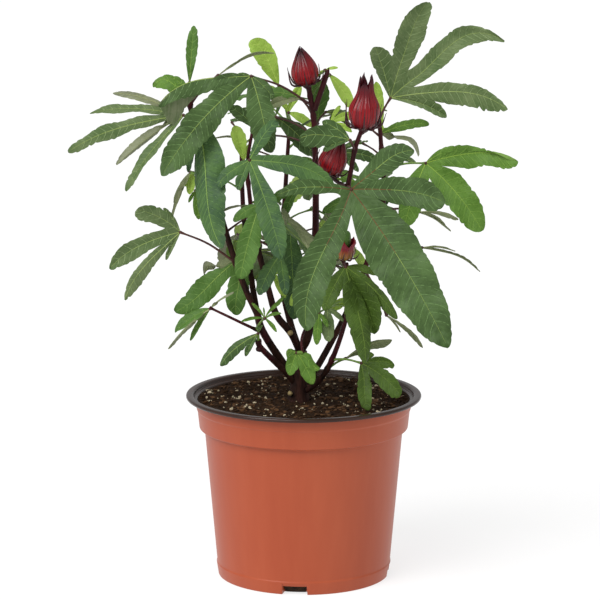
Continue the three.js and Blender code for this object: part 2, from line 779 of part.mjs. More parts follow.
// A solid from a three.js geometry, its shared corners merged by position
function geometrySolid(geometry) {
  const positions = geometry.getAttribute("position");
  const places = new Map();
  const corners = [];
  const triangles = [];
  for (let i = 0; i < geometry.index.count; i += 1) {
    const corner = new THREE.Vector3().fromBufferAttribute(positions, geometry.index.getX(i));
    const key = corner.toArray().map((value) => value.toFixed(3)).join(" ");
    if (!places.has(key)) {
      places.set(key, corners.length / 3);
      corners.push(...corner.toArray());
    }
    triangles.push(places.get(key));
  }
  return solidFrom(corners, triangles);
}

// Terracotta shell: foot band, plain wall, stepped collar and flared top
function potSolid() {
  const shell = turned([
    [0, 0],
    [BASE_RADIUS, 0],
    [wallRadius(FOOT_BAND_HEIGHT) + FOOT_BAND_STEP, FOOT_BAND_HEIGHT],
    [wallRadius(FOOT_BAND_HEIGHT + 1), FOOT_BAND_HEIGHT + 1],
    [WALL_TOP_RADIUS, COLLAR_FOOT_HEIGHT],
    [COLLAR_LOW_RADIUS, COLLAR_EDGE_HEIGHT],
    [COLLAR_TOP_RADIUS, POT_HEIGHT - LIP_DROP],
    [COLLAR_TOP_RADIUS - WALL, POT_HEIGHT - LIP_DROP],
    [COLLAR_LOW_RADIUS - WALL, COLLAR_EDGE_HEIGHT],
    [WALL_TOP_RADIUS - WALL, COLLAR_FOOT_HEIGHT],
    [BASE_RADIUS - WALL, FLOOR],
    [0, FLOOR],
  ]);
  return join([notches().reduce((body, notch) => body.subtract(notch), shell)]);
}

// Dark inner layer with the rolled lip that covers the top of the shell
function liningSolid() {
  const outer = WALL + GAP;
  const inner = outer + LINING_WALL;
  const under = POT_HEIGHT - LIP_DROP + GAP;
  const layer = turned([
    [0, FLOOR + GAP],
    [BASE_RADIUS - outer, FLOOR + GAP],
    [WALL_TOP_RADIUS - outer, COLLAR_FOOT_HEIGHT],
    [COLLAR_LOW_RADIUS - outer, COLLAR_EDGE_HEIGHT],
    [COLLAR_TOP_RADIUS - outer, under],
    [RIM_RADIUS - LIP_ROUND, under],
    [RIM_RADIUS, under + LIP_ROUND],
    [RIM_RADIUS, POT_HEIGHT - LIP_ROUND],
    [RIM_RADIUS - LIP_ROUND, POT_HEIGHT],
    [LIP_INNER_RADIUS + LIP_ROUND, POT_HEIGHT],
    [LIP_INNER_RADIUS, POT_HEIGHT - LIP_ROUND],
    [COLLAR_TOP_RADIUS - inner, under - THROAT_DROP],
    [COLLAR_LOW_RADIUS - inner, COLLAR_EDGE_HEIGHT],
    [WALL_TOP_RADIUS - inner, COLLAR_FOOT_HEIGHT],
    [BASE_RADIUS - inner, FLOOR + GAP + LINING_WALL],
    [0, FLOOR + GAP + LINING_WALL],
  ]);
  return join([notches().reduce((body, notch) => body.subtract(notch), layer)]);
}

// Potting mix: fills the lining to just under the lip, level round the foot of the trunk
function mixSolid() {
  const inset = WALL + GAP + LINING_WALL + GAP;
  const bottom = FLOOR + 2 * GAP + LINING_WALL;
  return turned([
    [0, bottom],
    [BASE_RADIUS - inset - MIX_CHAMFER, bottom],
    [wallRadius(MIX_CHAMFER) - inset, bottom + MIX_CHAMFER],
    [WALL_TOP_RADIUS - inset, COLLAR_FOOT_HEIGHT],
    [COLLAR_LOW_RADIUS - inset, COLLAR_EDGE_HEIGHT],
    [COLLAR_TOP_RADIUS - inset, MIX_EDGE_LEVEL - MIX_EDGE_DROP],
    [COLLAR_TOP_RADIUS - inset, MIX_EDGE_LEVEL],
    [MIX_FLAT_RADIUS, MIX_LEVEL],
    [0, MIX_LEVEL],
  ]);
}

// A named mesh with its own material
function meshOf(name, solid, colour, roughness) {
  const { vertProperties, triVerts } = solid.getMesh();
  const geometry = new THREE.BufferGeometry();
  geometry.setAttribute("position", new THREE.BufferAttribute(vertProperties, 3));
  geometry.setIndex(new THREE.BufferAttribute(triVerts, 1));
  geometry.computeVertexNormals();
  const material = new THREE.MeshStandardMaterial({ color: colour, roughness, metalness: 0 });
  const mesh = new THREE.Mesh(geometry, material);
  mesh.name = name;
  return mesh;
}

const pot = new THREE.Group();
pot.add(meshOf("pot_shell", potSolid(), COLOURS.pot, 0.5));
pot.add(meshOf("pot_lining", liningSolid(), COLOURS.lining, 0.4));
pot.add(meshOf("potting_mix", mixSolid(), COLOURS.mix, 0.95));

const wood = new THREE.Group();
const foliage = new THREE.Group();
for (const [name, limb] of Object.entries(LIMBS)) {
  if (limb.bough) {
    wood.add(meshOf(limb.bough, boughSolid(name), COLOURS.bark, 0.7));
  }
  if (limb.foliage) {
    foliage.add(meshOf(limb.foliage, foliageSolid(name), COLOURS.leaf, 0.55));
  }
}

const shrub = new THREE.Group();
shrub.add(pot, wood, foliage);

export default shrub;
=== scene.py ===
"""Looks of a young roselle hibiscus shrub in its nursery pot.

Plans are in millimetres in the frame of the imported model: +Z is up, +X is to the right, +Y is
away from the viewer, and the origin is the centre of the pot's flat underside. A mesh is turned
to metres when it is put into Blender. Limbs, leaves and fruits grow by the rule of the part's
own source, written again here and carried to finer leaves, veins, teeth and twigs.
"""

from __future__ import annotations

import logging
import math
from collections.abc import Callable, Sequence
from dataclasses import dataclass
from enum import Enum
from itertools import combinations

import bpy
import numpy as np
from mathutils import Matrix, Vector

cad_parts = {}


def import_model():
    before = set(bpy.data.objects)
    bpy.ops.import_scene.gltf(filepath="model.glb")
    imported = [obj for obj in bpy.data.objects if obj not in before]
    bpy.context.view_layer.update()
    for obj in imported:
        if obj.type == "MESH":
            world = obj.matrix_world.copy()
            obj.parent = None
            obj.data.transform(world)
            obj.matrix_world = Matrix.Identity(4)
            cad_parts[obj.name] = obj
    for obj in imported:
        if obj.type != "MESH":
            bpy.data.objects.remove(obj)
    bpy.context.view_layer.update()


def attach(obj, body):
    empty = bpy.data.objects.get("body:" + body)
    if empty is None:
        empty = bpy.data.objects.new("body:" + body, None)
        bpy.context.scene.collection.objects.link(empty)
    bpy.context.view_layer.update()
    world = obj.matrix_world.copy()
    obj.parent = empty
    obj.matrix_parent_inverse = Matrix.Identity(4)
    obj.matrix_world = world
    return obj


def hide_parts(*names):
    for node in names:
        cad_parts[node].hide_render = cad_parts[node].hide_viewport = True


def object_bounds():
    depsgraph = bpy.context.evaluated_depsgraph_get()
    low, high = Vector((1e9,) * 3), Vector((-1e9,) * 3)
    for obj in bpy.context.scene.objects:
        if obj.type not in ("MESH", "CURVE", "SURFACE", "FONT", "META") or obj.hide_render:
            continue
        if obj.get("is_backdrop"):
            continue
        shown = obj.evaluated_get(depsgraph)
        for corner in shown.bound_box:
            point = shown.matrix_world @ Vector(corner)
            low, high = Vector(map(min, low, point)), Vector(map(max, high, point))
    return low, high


LOG = logging.getLogger("hibiscus")
MM = 0.001
UP = np.array([0.0, 0.0, 1.0])
RIGHT = np.array([1.0, 0.0, 0.0])
BODY = "root"
SHARP_EDGE = math.radians(52.0)

# Place of the camera in millimetres
EYE = (-3.2, -2540.0, 728.0)

# Pot, in millimetres
POT_HEIGHT = 160.0
RIM_RADIUS = 102.0
BASE_RADIUS = 74.5
WALL_TOP_RADIUS = 86.0
COLLAR_LOW_RADIUS = 90.5
COLLAR_TOP_RADIUS = 93.5
COLLAR_FOOT_HEIGHT = 129.4
COLLAR_EDGE_HEIGHT = 131.0
FOOT_BAND_HEIGHT = 11.0
FOOT_BAND_STEP = 0.7
WALL = 1.5
LINING_WALL = 1.2
LIP_DROP = 3.6
LIP_INNER_RADIUS = 95.5
THROAT_DROP = 2.0
NOTCH_WIDTH = 22.0
NOTCH_HEIGHT = 7.5
NOTCH_DEPTH = 9.0
NOTCH_COUNT = 4
NOTCH_TURN = -96.0
NOTCH_HALF = math.asin(NOTCH_WIDTH / 2.0 / BASE_RADIUS)
MIX_LEVEL = 156.0
MIX_EDGE_LEVEL = 155.5
GAP = 0.3

# Rule shared by all limbs and leaves
ROUTE_STEPS = 16
ROUTE_TENSION = 0.5
STALK_RADIUS = 1.15
STALK_END_RADIUS = 0.85
STALK_ARCH = 0.06
LEAF_GIRTH = 0.25
LEAF_ARCH = 0.08
LEAF_FOLD = 0.1
HUB_RADIUS = 1.7
SPIRAL = 137.5
FRONT_LIMIT = 100.0
FILL_FAN = 40.0
FILL_SHARES = (0.86, 1.0, 0.86)
FILL_LEAST_LOBES = 2
FILL_STALK_FOOT = 0.25
FILL_CLEARANCE = 9.0
FILL_LIMB_CLEARANCE = 5.0
CROWN_CENTRE = np.array([-4.0, 20.0, 335.0])
CROWN_REACH = np.array([112.0, 150.0, 128.0])


def unit(vectors: np.ndarray) -> np.ndarray:
    """Vectors scaled to length one along their last axis."""
    return vectors / np.maximum(np.linalg.norm(vectors, axis=-1, keepdims=True), 1e-9)


def smooth(low: float, high: float, values: np.ndarray) -> np.ndarray:
    """Zero below low, one above high, and a smooth S between them."""
    share = np.clip((values - low) / (high - low), 0.0, 1.0)
    return share * share * (3.0 - 2.0 * share)


def turns(count: int) -> np.ndarray:
    """Even angles round a full turn, in radians."""
    return np.linspace(0.0, 2.0 * math.pi, count, endpoint=False)


def linear(colour: str) -> tuple[float, float, float, float]:
    """A colour in linear light.

    Args:
        colour: sRGB hex value such as "#b65a3a".

    Returns:
        Red, green, blue and an alpha of one.
    """
    parts = [int(colour[i : i + 2], 16) / 255.0 for i in (1, 3, 5)]
    lit = [p / 12.92 if p <= 0.04045 else ((p + 0.055) / 1.055) ** 2.4 for p in parts]
    return (*lit, 1.0)


def waves(points: np.ndarray, size: float, seed: int, count: int = 9) -> np.ndarray:
    """A soft random field: the mean of sine waves in random directions.

    Args:
        points: places in millimetres, with the coordinates on the last axis.
        size: typical width of a hump in millimetres.
        seed: picks the waves.
        count: how many waves are summed.

    Returns:
        Values of about minus one to one, one for each place.
    """
    rng = np.random.default_rng(seed)
    ways = unit(rng.normal(size=(count, 3))) * rng.uniform(0.6, 1.5, (count, 1)) * math.pi / size
    phases = rng.uniform(0.0, 2.0 * math.pi, count)
    return np.sin(points @ ways.T + phases).sum(-1) / math.sqrt(count)


class Stream:
    """The repeatable stream of numbers from 0 to 1 that the plant's rule draws on."""

    def __init__(self, seed: int) -> None:
        """Starts the stream at a whole number."""
        self.state = seed & 0xFFFFFFFF

    def __call__(self) -> float:
        """The next number."""
        self.state = (self.state * 1664525 + 1013904223) & 0xFFFFFFFF
        return self.state / 4294967296.0


# Finishes


def add_node(
    tree: bpy.types.NodeTree, kind: str, inputs: dict | None = None, **settings: object
) -> bpy.types.bpy_prop_collection:
    """Adds a node to a tree, with its settings, values and links.

    Args:
        tree: node tree that gets it.
        kind: Blender's name of its kind, without the ShaderNode before it.
        inputs: socket name or number to a value, or to the output socket that feeds it.
        settings: its properties.

    Returns:
        Its output sockets.
    """
    node = tree.nodes.new(f"ShaderNode{kind}")
    for key, value in settings.items():
        setattr(node, key, value)
    for key, value in (inputs or {}).items():
        if isinstance(value, bpy.types.NodeSocket):
            tree.links.new(value, node.inputs[key])
        else:
            node.inputs[key].default_value = value
    return node.outputs


def start_material(name: str) -> tuple[bpy.types.Material, bpy.types.NodeTree]:
    """A new material of the given name, and its tree with no nodes yet."""
    material = bpy.data.materials.new(name)
    material.use_nodes = True
    material.node_tree.nodes.clear()
    return material, material.node_tree


def end_material(
    tree: bpy.types.NodeTree, share: bpy.types.NodeSocket, colours: tuple[str, str],
    height: bpy.types.NodeSocket, relief: tuple[float, float], surface: dict[str, float],
) -> None:
    """Joins two mixed colours, a relief and a gloss to the output of a material.

    Args:
        tree: node tree of the material.
        share: how far the second colour takes the place of the first.
        colours: the two colours as sRGB hex.
        height: pattern of the relief.
        relief: its strength, and its height in millimetres.
        surface: the other values of the surface.
    """
    mixed = {0: share, 6: linear(colours[0]), 7: linear(colours[1])}
    colour = add_node(tree, "Mix", mixed, data_type="RGBA")[2]
    pressed = {"Height": height, "Strength": relief[0], "Distance": relief[1] * MM}
    normal = add_node(tree, "Bump", pressed)[0]
    shader = add_node(tree, "BsdfPrincipled", {"Base Color": colour, "Normal": normal, **surface})[0]
    add_node(tree, "OutputMaterial", {"Surface": shader})


@dataclass(frozen=True)
class Finish:
    """A surface of two colours mixed by soft patches, with its gloss and its fine relief.

    Attributes:
        name: common name of the material.
        base: sRGB hex of most of it.
        accent: sRGB hex of the patches.
        patch: size of the patches in millimetres.
        roughness: roughness of the surface.
        relief: height of the relief in millimetres.
        grain: width of its humps in millimetres.
        stretch: how many times longer the pattern is along X, Y and Z.
        ior: index of refraction.
        gloss: share of the usual mirror light; a half is what the index gives.
        coat: weight of a clear skin such as wax.
        veined: whether fine veins are pressed in, by the UV map.
        glow: strength of its own white light.
    """

    name: str
    base: str
    accent: str
    patch: float
    roughness: float
    relief: float
    grain: float
    stretch: tuple[float, float, float] = (1.0, 1.0, 1.0)
    ior: float = 1.5
    gloss: float = 0.35
    coat: float = 0.0
    veined: bool = False
    glow: float = 0.0

    VEIN_SHIFT = 0.2
    VEIN_RELIEF = 0.8

    def veins(self, tree: bpy.types.NodeTree) -> bpy.types.NodeSocket:
        """Gives the fine veins of a leaf as a height of about 0 to 1.

        It is a noise drawn out along lines about 2 mm apart, which run outwards and forwards as
        side veins do. The UV map runs from 0 to 1 across the lobe and along it.

        Args:
            tree: node tree of the material.

        Returns:
            The socket that gives the height.
        """
        uv = add_node(tree, "UVMap", uv_map="UVMap")[0]
        across, along = add_node(tree, "SeparateXYZ", {0: uv})[:2]
        side = add_node(tree, "Math", {0: across, 1: 0.5}, operation="SUBTRACT")[0]
        apart = add_node(tree, "Math", {0: side}, operation="ABSOLUTE")[0]
        slant = add_node(tree, "Math", {0: apart, 1: -0.16, 2: along}, operation="MULTIPLY_ADD")[0]
        drawn = add_node(tree, "CombineXYZ", {0: slant, 1: across})[0]
        drawn = add_node(tree, "Mapping", {"Vector": drawn, "Scale": (48.0, 3.0, 1.0)})[0]
        return add_node(tree, "TexNoise", {"Vector": drawn, "Scale": 1.0, "Detail": 3.0})[0]

    def build(self) -> bpy.types.Material:
        """The finish as a Blender material, made once and shared by all who ask for it."""
        made = bpy.data.materials.get(self.name)
        if made:
            return made
        material, tree = start_material(self.name)
        place = add_node(tree, "TexCoord")["Object"]
        scale = tuple(1.0 / factor for factor in self.stretch)
        place = add_node(tree, "Mapping", {"Vector": place, "Scale": scale})[0]
        fields = []
        for size, detail, rough in ((self.patch, 5.0, 0.65), (self.grain, 2.0, 0.55)):
            noise = {"Vector": place, "Scale": 1.0 / (size * MM), "Detail": detail, "Roughness": rough}
            fields.append(add_node(tree, "TexNoise", noise)[0])
        shift = 0.0
        if self.veined:
            veins, shift = self.veins(tree), self.VEIN_SHIFT
            fields = [
                add_node(tree, "Math", {0: veins, 1: part, 2: ground}, operation="MULTIPLY_ADD")[0]
                for part, ground in zip((2.0 * shift, self.VEIN_RELIEF), fields)
            ]
        patches, grain = fields
        limits = {"Value": patches, "From Min": 0.36 + shift, "From Max": 0.66 + shift}
        share = add_node(tree, "MapRange", limits)[0]
        surface = {
            "Roughness": self.roughness,
            "IOR": self.ior,
            "Specular IOR Level": self.gloss,
            "Coat Weight": self.coat,
            "Coat Roughness": 0.18,
            "Emission Strength": self.glow,
        }
        end_material(tree, share, (self.base, self.accent), grain, (1.0, self.relief), surface)
        return material


@dataclass(frozen=True)
class CalyxFinish:
    """Waxy fruit skin, striped lengthwise by the UV map and darker at both ends.

    Attributes:
        name: common name of the material.
        flesh: sRGB hex between the ribs.
        ribs: sRGB hex of the ribs, foot and tips.
        foot: how far the foot takes the ribs' colour.
        fade: shares of the length between which the tip takes it.
    """

    name: str
    flesh: str
    ribs: str
    foot: float = 1.0
    fade: tuple[float, float] = (0.45, 0.95)

    def build(self) -> bpy.types.Material:
        """The finish as a Blender material.

        The share of the dark colour is the largest of a streak pattern, drawn out along the
        sepal, a rise towards the foot and a rise towards the tip.
        """
        material, tree = start_material(self.name)
        uv = add_node(tree, "UVMap", uv_map="UVMap")[0]
        drawn = add_node(tree, "Mapping", {"Vector": uv, "Scale": (16.0, 1.1, 1.0)})[0]
        streaks = add_node(tree, "TexNoise", {"Vector": drawn, "Scale": 1.0, "Detail": 3.0})[0]
        along = add_node(tree, "SeparateXYZ", {0: uv})[1]
        dark = 0.0
        rises = ((streaks, 0.42, 0.7, 1.0), (along, 0.22, 0.02, self.foot), (along, *self.fade, 1.0))
        for value, start, end, most in rises:
            limits = {"Value": value, "From Min": start, "From Max": end, "To Max": most}
            rise = add_node(tree, "MapRange", limits)[0]
            dark = add_node(tree, "Math", {0: dark, 1: rise}, operation="MAXIMUM")[0]
        surface = {
            "Roughness": 0.36,
            "IOR": 1.45,
            "Specular IOR Level": 0.3,
            "Coat Weight": 0.12,
            "Coat Roughness": 0.16,
        }
        end_material(tree, dark, (self.flesh, self.ribs), streaks, (0.5, 0.3), surface)
        return material


@dataclass(frozen=True)
class LeafFinish:
    """Colours of one sort of leaf, as sRGB hex.

    Attributes:
        name: word that goes into the names of its materials.
        top: upper side.
        light: patches on the upper side.
        under: underside.
        rib: midribs.
        vein: side veins.
    """

    name: str
    top: str
    light: str
    under: str
    rib: str
    vein: str

    def build(self) -> list[bpy.types.Material]:
        """Materials of the upper side, the underside, the midribs and the side veins.

        A thin wax skin over quilted flesh gives a broad dull gloss. The underside is paler, downy
        and without gloss.
        """
        top = Finish(
            f"leaf_{self.name}_top", self.top, self.light, 26.0, 0.5, 0.45, 2.6,
            ior=1.42, gloss=0.25, veined=True,
        )
        under = Finish(
            f"leaf_{self.name}_under", self.under, self.light, 30.0, 0.75, 0.25, 2.0,
            ior=1.4, gloss=0.15, veined=True,
        )
        rib = Finish(f"leaf_{self.name}_rib", self.rib, self.rib, 20.0, 0.5, 0.03, 1.5, gloss=0.2)
        vein = Finish(f"leaf_{self.name}_vein", self.vein, self.vein, 20.0, 0.5, 0.03, 1.5, gloss=0.2)
        return [top.build(), under.build(), rib.build(), vein.build()]


class Tint(Enum):
    """Sorts of leaf on the plant, by age and light."""

    DEEP = LeafFinish("deep", "#365033", "#4c6b36", "#6a7d66", "#7d9a4c", "#63834c")
    MID = LeafFinish("mid", "#436426", "#547636", "#788a66", "#8aa450", "#70904a")
    OLIVE = LeafFinish("olive", "#334822", "#496234", "#7f8768", "#8b9f52", "#6b8853")
    SAGE = LeafFinish("sage", "#4c6237", "#69794f", "#868c72", "#92a45c", "#819465")
    FRESH = LeafFinish("fresh", "#486a22", "#5f8334", "#7f9a58", "#93b04a", "#799c46")
    LIME = LeafFinish("lime", "#84a43e", "#9ab850", "#98b062", "#b6cc68", "#a8c05e")
    GREY = LeafFinish("grey", "#626d48", "#7c8360", "#8a8f76", "#959c6e", "#858e68")
    SHADE = LeafFinish("shade", "#394e1a", "#4c6624", "#5d7040", "#71883a", "#5a742e")


class Bare(Enum):
    """Finishes of all that isn't a leaf."""

    # Thermoformed polystyrene: satin, faintly drawn out from foot to rim
    POT = Finish("terracotta_polystyrene", "#9c4324", "#a54c2c", 60.0, 0.4, 0.04, 5.0, (1.0, 1.0, 6.0))
    # The same sheet's black face, smoother than the outside, rolled into the lip
    LINING = Finish("black_polystyrene", "#281811", "#362119", 40.0, 0.24, 0.03, 4.0, gloss=0.28)
    # Peat and fine bark: matt, dark when moist; the same near-black finish also paints the shade inside
    # the pot's notches
    MIX = Finish("moist_potting_mix_and_notch_shade", "#1c120c", "#362415", 5.0, 0.95, 1.6, 1.6, gloss=0.1)
    CRUMB = Finish("peat_crumbs", "#1c120c", "#3a2716", 9.0, 0.95, 0.5, 0.8, gloss=0.1)
    CHIP = Finish(
        "pine_bark_chips", "#36210f", "#5c4026", 5.0, 0.85, 0.4, 0.9, (1.0, 3.0, 1.0), gloss=0.2
    )
    # Popped volcanic glass: white, crumbly and matt
    PERLITE = Finish("perlite", "#c4b89c", "#94846a", 2.0, 0.9, 0.3, 0.6, gloss=0.2)
    # Young bark that has browned: satin, with fine lengthwise cracks
    BARK = Finish("brown_bark", "#140906", "#3a2018", 5.0, 0.7, 0.8, 1.2, (1.0, 1.0, 5.0), gloss=0.12)
    # Green wood coloured by red pigment: smoother and glossier
    STEM = Finish("red_stem", "#24090c", "#45161a", 6.0, 0.5, 0.3, 1.2, (1.0, 1.0, 5.0), gloss=0.15)
    STALK = Finish("red_leaf_stalk", "#3a191b", "#523026", 9.0, 0.45, 0.08, 0.8)
    GREEN_STALK = Finish("green_leaf_stalk", "#56752a", "#6d8a3a", 9.0, 0.45, 0.08, 0.8)
    RED_RIB = Finish("red_midrib", "#663526", "#7a5632", 12.0, 0.5, 0.03, 1.5, gloss=0.2)
    CUT = Finish("dried_cut_wood", "#94825c", "#75643f", 2.0, 0.85, 0.3, 0.6, gloss=0.2)
    BRACT = Finish("dark_red_bract", "#260910", "#3c1118", 6.0, 0.38, 0.06, 0.8, coat=0.1)
    CAPSULE = Finish("green_seed_capsule", "#33521a", "#486a26", 5.0, 0.5, 0.2, 1.2)
    CALYX = CalyxFinish("red_calyx_flesh", "#900811", "#340814", fade=(0.3, 0.9))
    YOUNG_CALYX = CalyxFinish("young_calyx_flesh", "#987a34", "#740c20", 0.15, (0.05, 0.6))


def finishes(*sorts: Bare) -> list[bpy.types.Material]:
    """Blender materials of some finishes, in their order."""
    return [sort.value.build() for sort in sorts]


# Meshes


class Buffer:
    """Vertices, faces and UVs of many small surfaces, gathered to become one mesh."""

    def __init__(self) -> None:
        """Starts with nothing in it."""
        self.points: list[np.ndarray] = []
        self.faces: list[np.ndarray] = []
        self.slots: list[np.ndarray] = []
        self.uvs: list[np.ndarray] = []
        self.count = 0

    def add(
        self,
        points: np.ndarray,
        *groups: tuple[np.ndarray, int],
        uv: np.ndarray | None = None,
    ) -> None:
        """Adds one surface.

        Args:
            points: n by 3 places in millimetres.
            groups: pairs of m by 3 or m by 4 corner numbers, counted from the surface's own first
                point, and the number of their material.
            uv: n by 2 UVs of the points, or nothing.
        """
        points = points.reshape(-1, 3)
        for faces, slot in groups:
            self.faces.append(faces + self.count)
            self.slots.append(np.full(len(faces), slot))
        self.points.append(points)
        self.uvs.append(np.zeros((len(points), 2)) if uv is None else uv.reshape(-1, 2))
        self.count += len(points)

    def tube(self, rings: np.ndarray, slot: int = 0) -> Buffer:
        """Adds a closed skin through rings of points.

        Each ring is joined to the next by four-cornered faces, and each end is closed by triangles
        to its middle.

        Args:
            rings: n by m by 3 places, anticlockwise round the way of travel.
            slot: number of its material.

        Returns:
            The buffer itself.
        """
        rows, sides = rings.shape[:2]
        index = np.arange(rows * sides).reshape(rows, sides)
        after = np.roll(index, -1, axis=1)
        skin = np.stack([index[:-1], after[:-1], after[1:], index[1:]], -1).reshape(-1, 4)
        foot, head = rows * sides, rows * sides + 1
        start = np.stack([np.full(sides, foot), after[0], index[0]], -1)
        end = np.stack([np.full(sides, head), index[-1], after[-1]], -1)
        middles = np.stack([rings[0].mean(0), rings[-1].mean(0)])
        points = np.concatenate([rings.reshape(-1, 3), middles])
        self.add(points, (skin, slot), (np.concatenate([start, end]), slot))
        return self

    def rod(
        self, route: Route, distances: np.ndarray, radii: np.ndarray, sides: int, slot: int = 0
    ) -> None:
        """Adds a round closed rod along a route.

        Args:
            route: way of its middle.
            distances: n distances along it.
            radii: n radii there.
            sides: number of corners of its section.
            slot: number of its material.
        """
        self.tube(route.rings(distances, np.repeat(radii[:, None], sides, axis=1)), slot)

    def shell(
        self, outer: np.ndarray, inner: np.ndarray, slots: tuple[int, int], uv: np.ndarray
    ) -> None:
        """Adds a thin closed body between two grids that share the points of their margin.

        Args:
            outer: rows by columns by 3 places of the side that faces out.
            inner: the same for the other side; its margin isn't used.
            slots: numbers of the materials of the two sides.
            uv: rows by columns by 2 UVs of both.
        """
        rows, cols = outer.shape[:2]
        front = np.arange(rows * cols).reshape(rows, cols)
        back = front.copy()
        middle = (rows - 2, cols - 2)
        back[1:-1, 1:-1] = rows * cols + np.arange(middle[0] * middle[1]).reshape(middle)
        points = np.concatenate([outer.reshape(-1, 3), inner[1:-1, 1:-1].reshape(-1, 3)])
        uvs = np.concatenate([uv.reshape(-1, 2), uv[1:-1, 1:-1].reshape(-1, 2)])
        face = np.stack([front[:-1, :-1], front[:-1, 1:], front[1:, 1:], front[1:, :-1]], -1)
        lining = np.stack([back[:-1, :-1], back[1:, :-1], back[1:, 1:], back[:-1, 1:]], -1)
        self.add(points, (face.reshape(-1, 4), slots[0]), (lining.reshape(-1, 4), slots[1]), uv=uvs)

    def build(self, name: str, materials: Sequence[bpy.types.Material]) -> bpy.types.Object:
        """Makes the mesh object, in metres, at the origin.

        Args:
            name: name of the object and its mesh.
            materials: its materials, in the order of their numbers.

        Returns:
            The new object, linked to the scene.
        """
        mesh = bpy.data.meshes.new(name)
        points = np.concatenate(self.points) * MM
        corners = np.concatenate([faces.ravel() for faces in self.faces]).astype(np.int32)
        sizes = np.concatenate([np.full(len(faces), faces.shape[1]) for faces in self.faces])
        starts = (np.cumsum(sizes) - sizes).astype(np.int32)
        mesh.vertices.add(len(points))
        mesh.vertices.foreach_set("co", points.astype(np.float32).ravel())
        mesh.loops.add(len(corners))
        mesh.loops.foreach_set("vertex_index", corners)
        mesh.polygons.add(len(starts))
        mesh.polygons.foreach_set("loop_start", starts)
        mesh.polygons.foreach_set("material_index", np.concatenate(self.slots).astype(np.int32))
        mesh.update(calc_edges=True)
        for material in materials:
            mesh.materials.append(material)
        layer = mesh.uv_layers.new(name="UVMap")
        layer.data.foreach_set("uv", np.concatenate(self.uvs)[corners].astype(np.float32).ravel())
        mesh.shade_smooth()
        mesh.set_sharp_from_angle(angle=SHARP_EDGE)
        made = bpy.data.objects.new(name, mesh)
        bpy.context.scene.collection.objects.link(made)
        return made


def report(piece: bpy.types.Object, slot: str, replaced: Sequence[str] = ()) -> None:
    """Fastens a finished piece to the body, hides the nodes that it stands for and logs it with its
    slot.

    Args:
        piece: the finished object.
        slot: material slot of the record that its finish comes from.
        replaced: nodes that it stands for.
    """
    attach(piece, BODY)
    if replaced:
        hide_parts(*replaced)
    piece.data.calc_loop_triangles()
    LOG.info("%s: %d triangles, slot %s", piece.name, len(piece.data.loop_triangles), slot)


def soften(profile: Sequence[tuple[float, float]], reach: float, steps: int = 5) -> np.ndarray:
    """Rounds the corners of an outline.

    Each corner but the first and last becomes a parabola that starts and ends on its two sides,
    at the given distance from it or half-way along the side if that is nearer.

    Args:
        profile: corners of the outline.
        reach: that distance in millimetres.
        steps: points on each rounding.

    Returns:
        The rounded outline as n by 2 values.
    """
    corners = np.array(profile, float)
    before, corner, after = corners[:-2], corners[1:-1], corners[2:]
    back, ahead = before - corner, after - corner
    back_length = np.linalg.norm(back, axis=1, keepdims=True)
    ahead_length = np.linalg.norm(ahead, axis=1, keepdims=True)
    start = corner + back / back_length * np.minimum(reach, 0.5 * back_length)
    end = corner + ahead / ahead_length * np.minimum(reach, 0.5 * ahead_length)
    t = np.linspace(0.0, 1.0, steps)[None, :, None]
    arcs = ((1 - t) ** 2 * start[:, None] + 2 * t * (1 - t) * corner[:, None] + t**2 * end[:, None])
    return np.concatenate([corners[:1], arcs.reshape(-1, 2), corners[-1:]])


def revolve(profile: np.ndarray, angles: np.ndarray) -> np.ndarray:
    """Points of an outline turned about the Z axis.

    Args:
        profile: n by 2 radii and heights.
        angles: m turns in radians.

    Returns:
        n by m by 3 places: (radius cos angle, radius sin angle, height).
    """
    radius, height = profile[:, :1], profile[:, 1:]
    level = np.broadcast_to(height, (len(profile), len(angles)))
    return np.stack([radius * np.cos(angles), radius * np.sin(angles), level], -1)


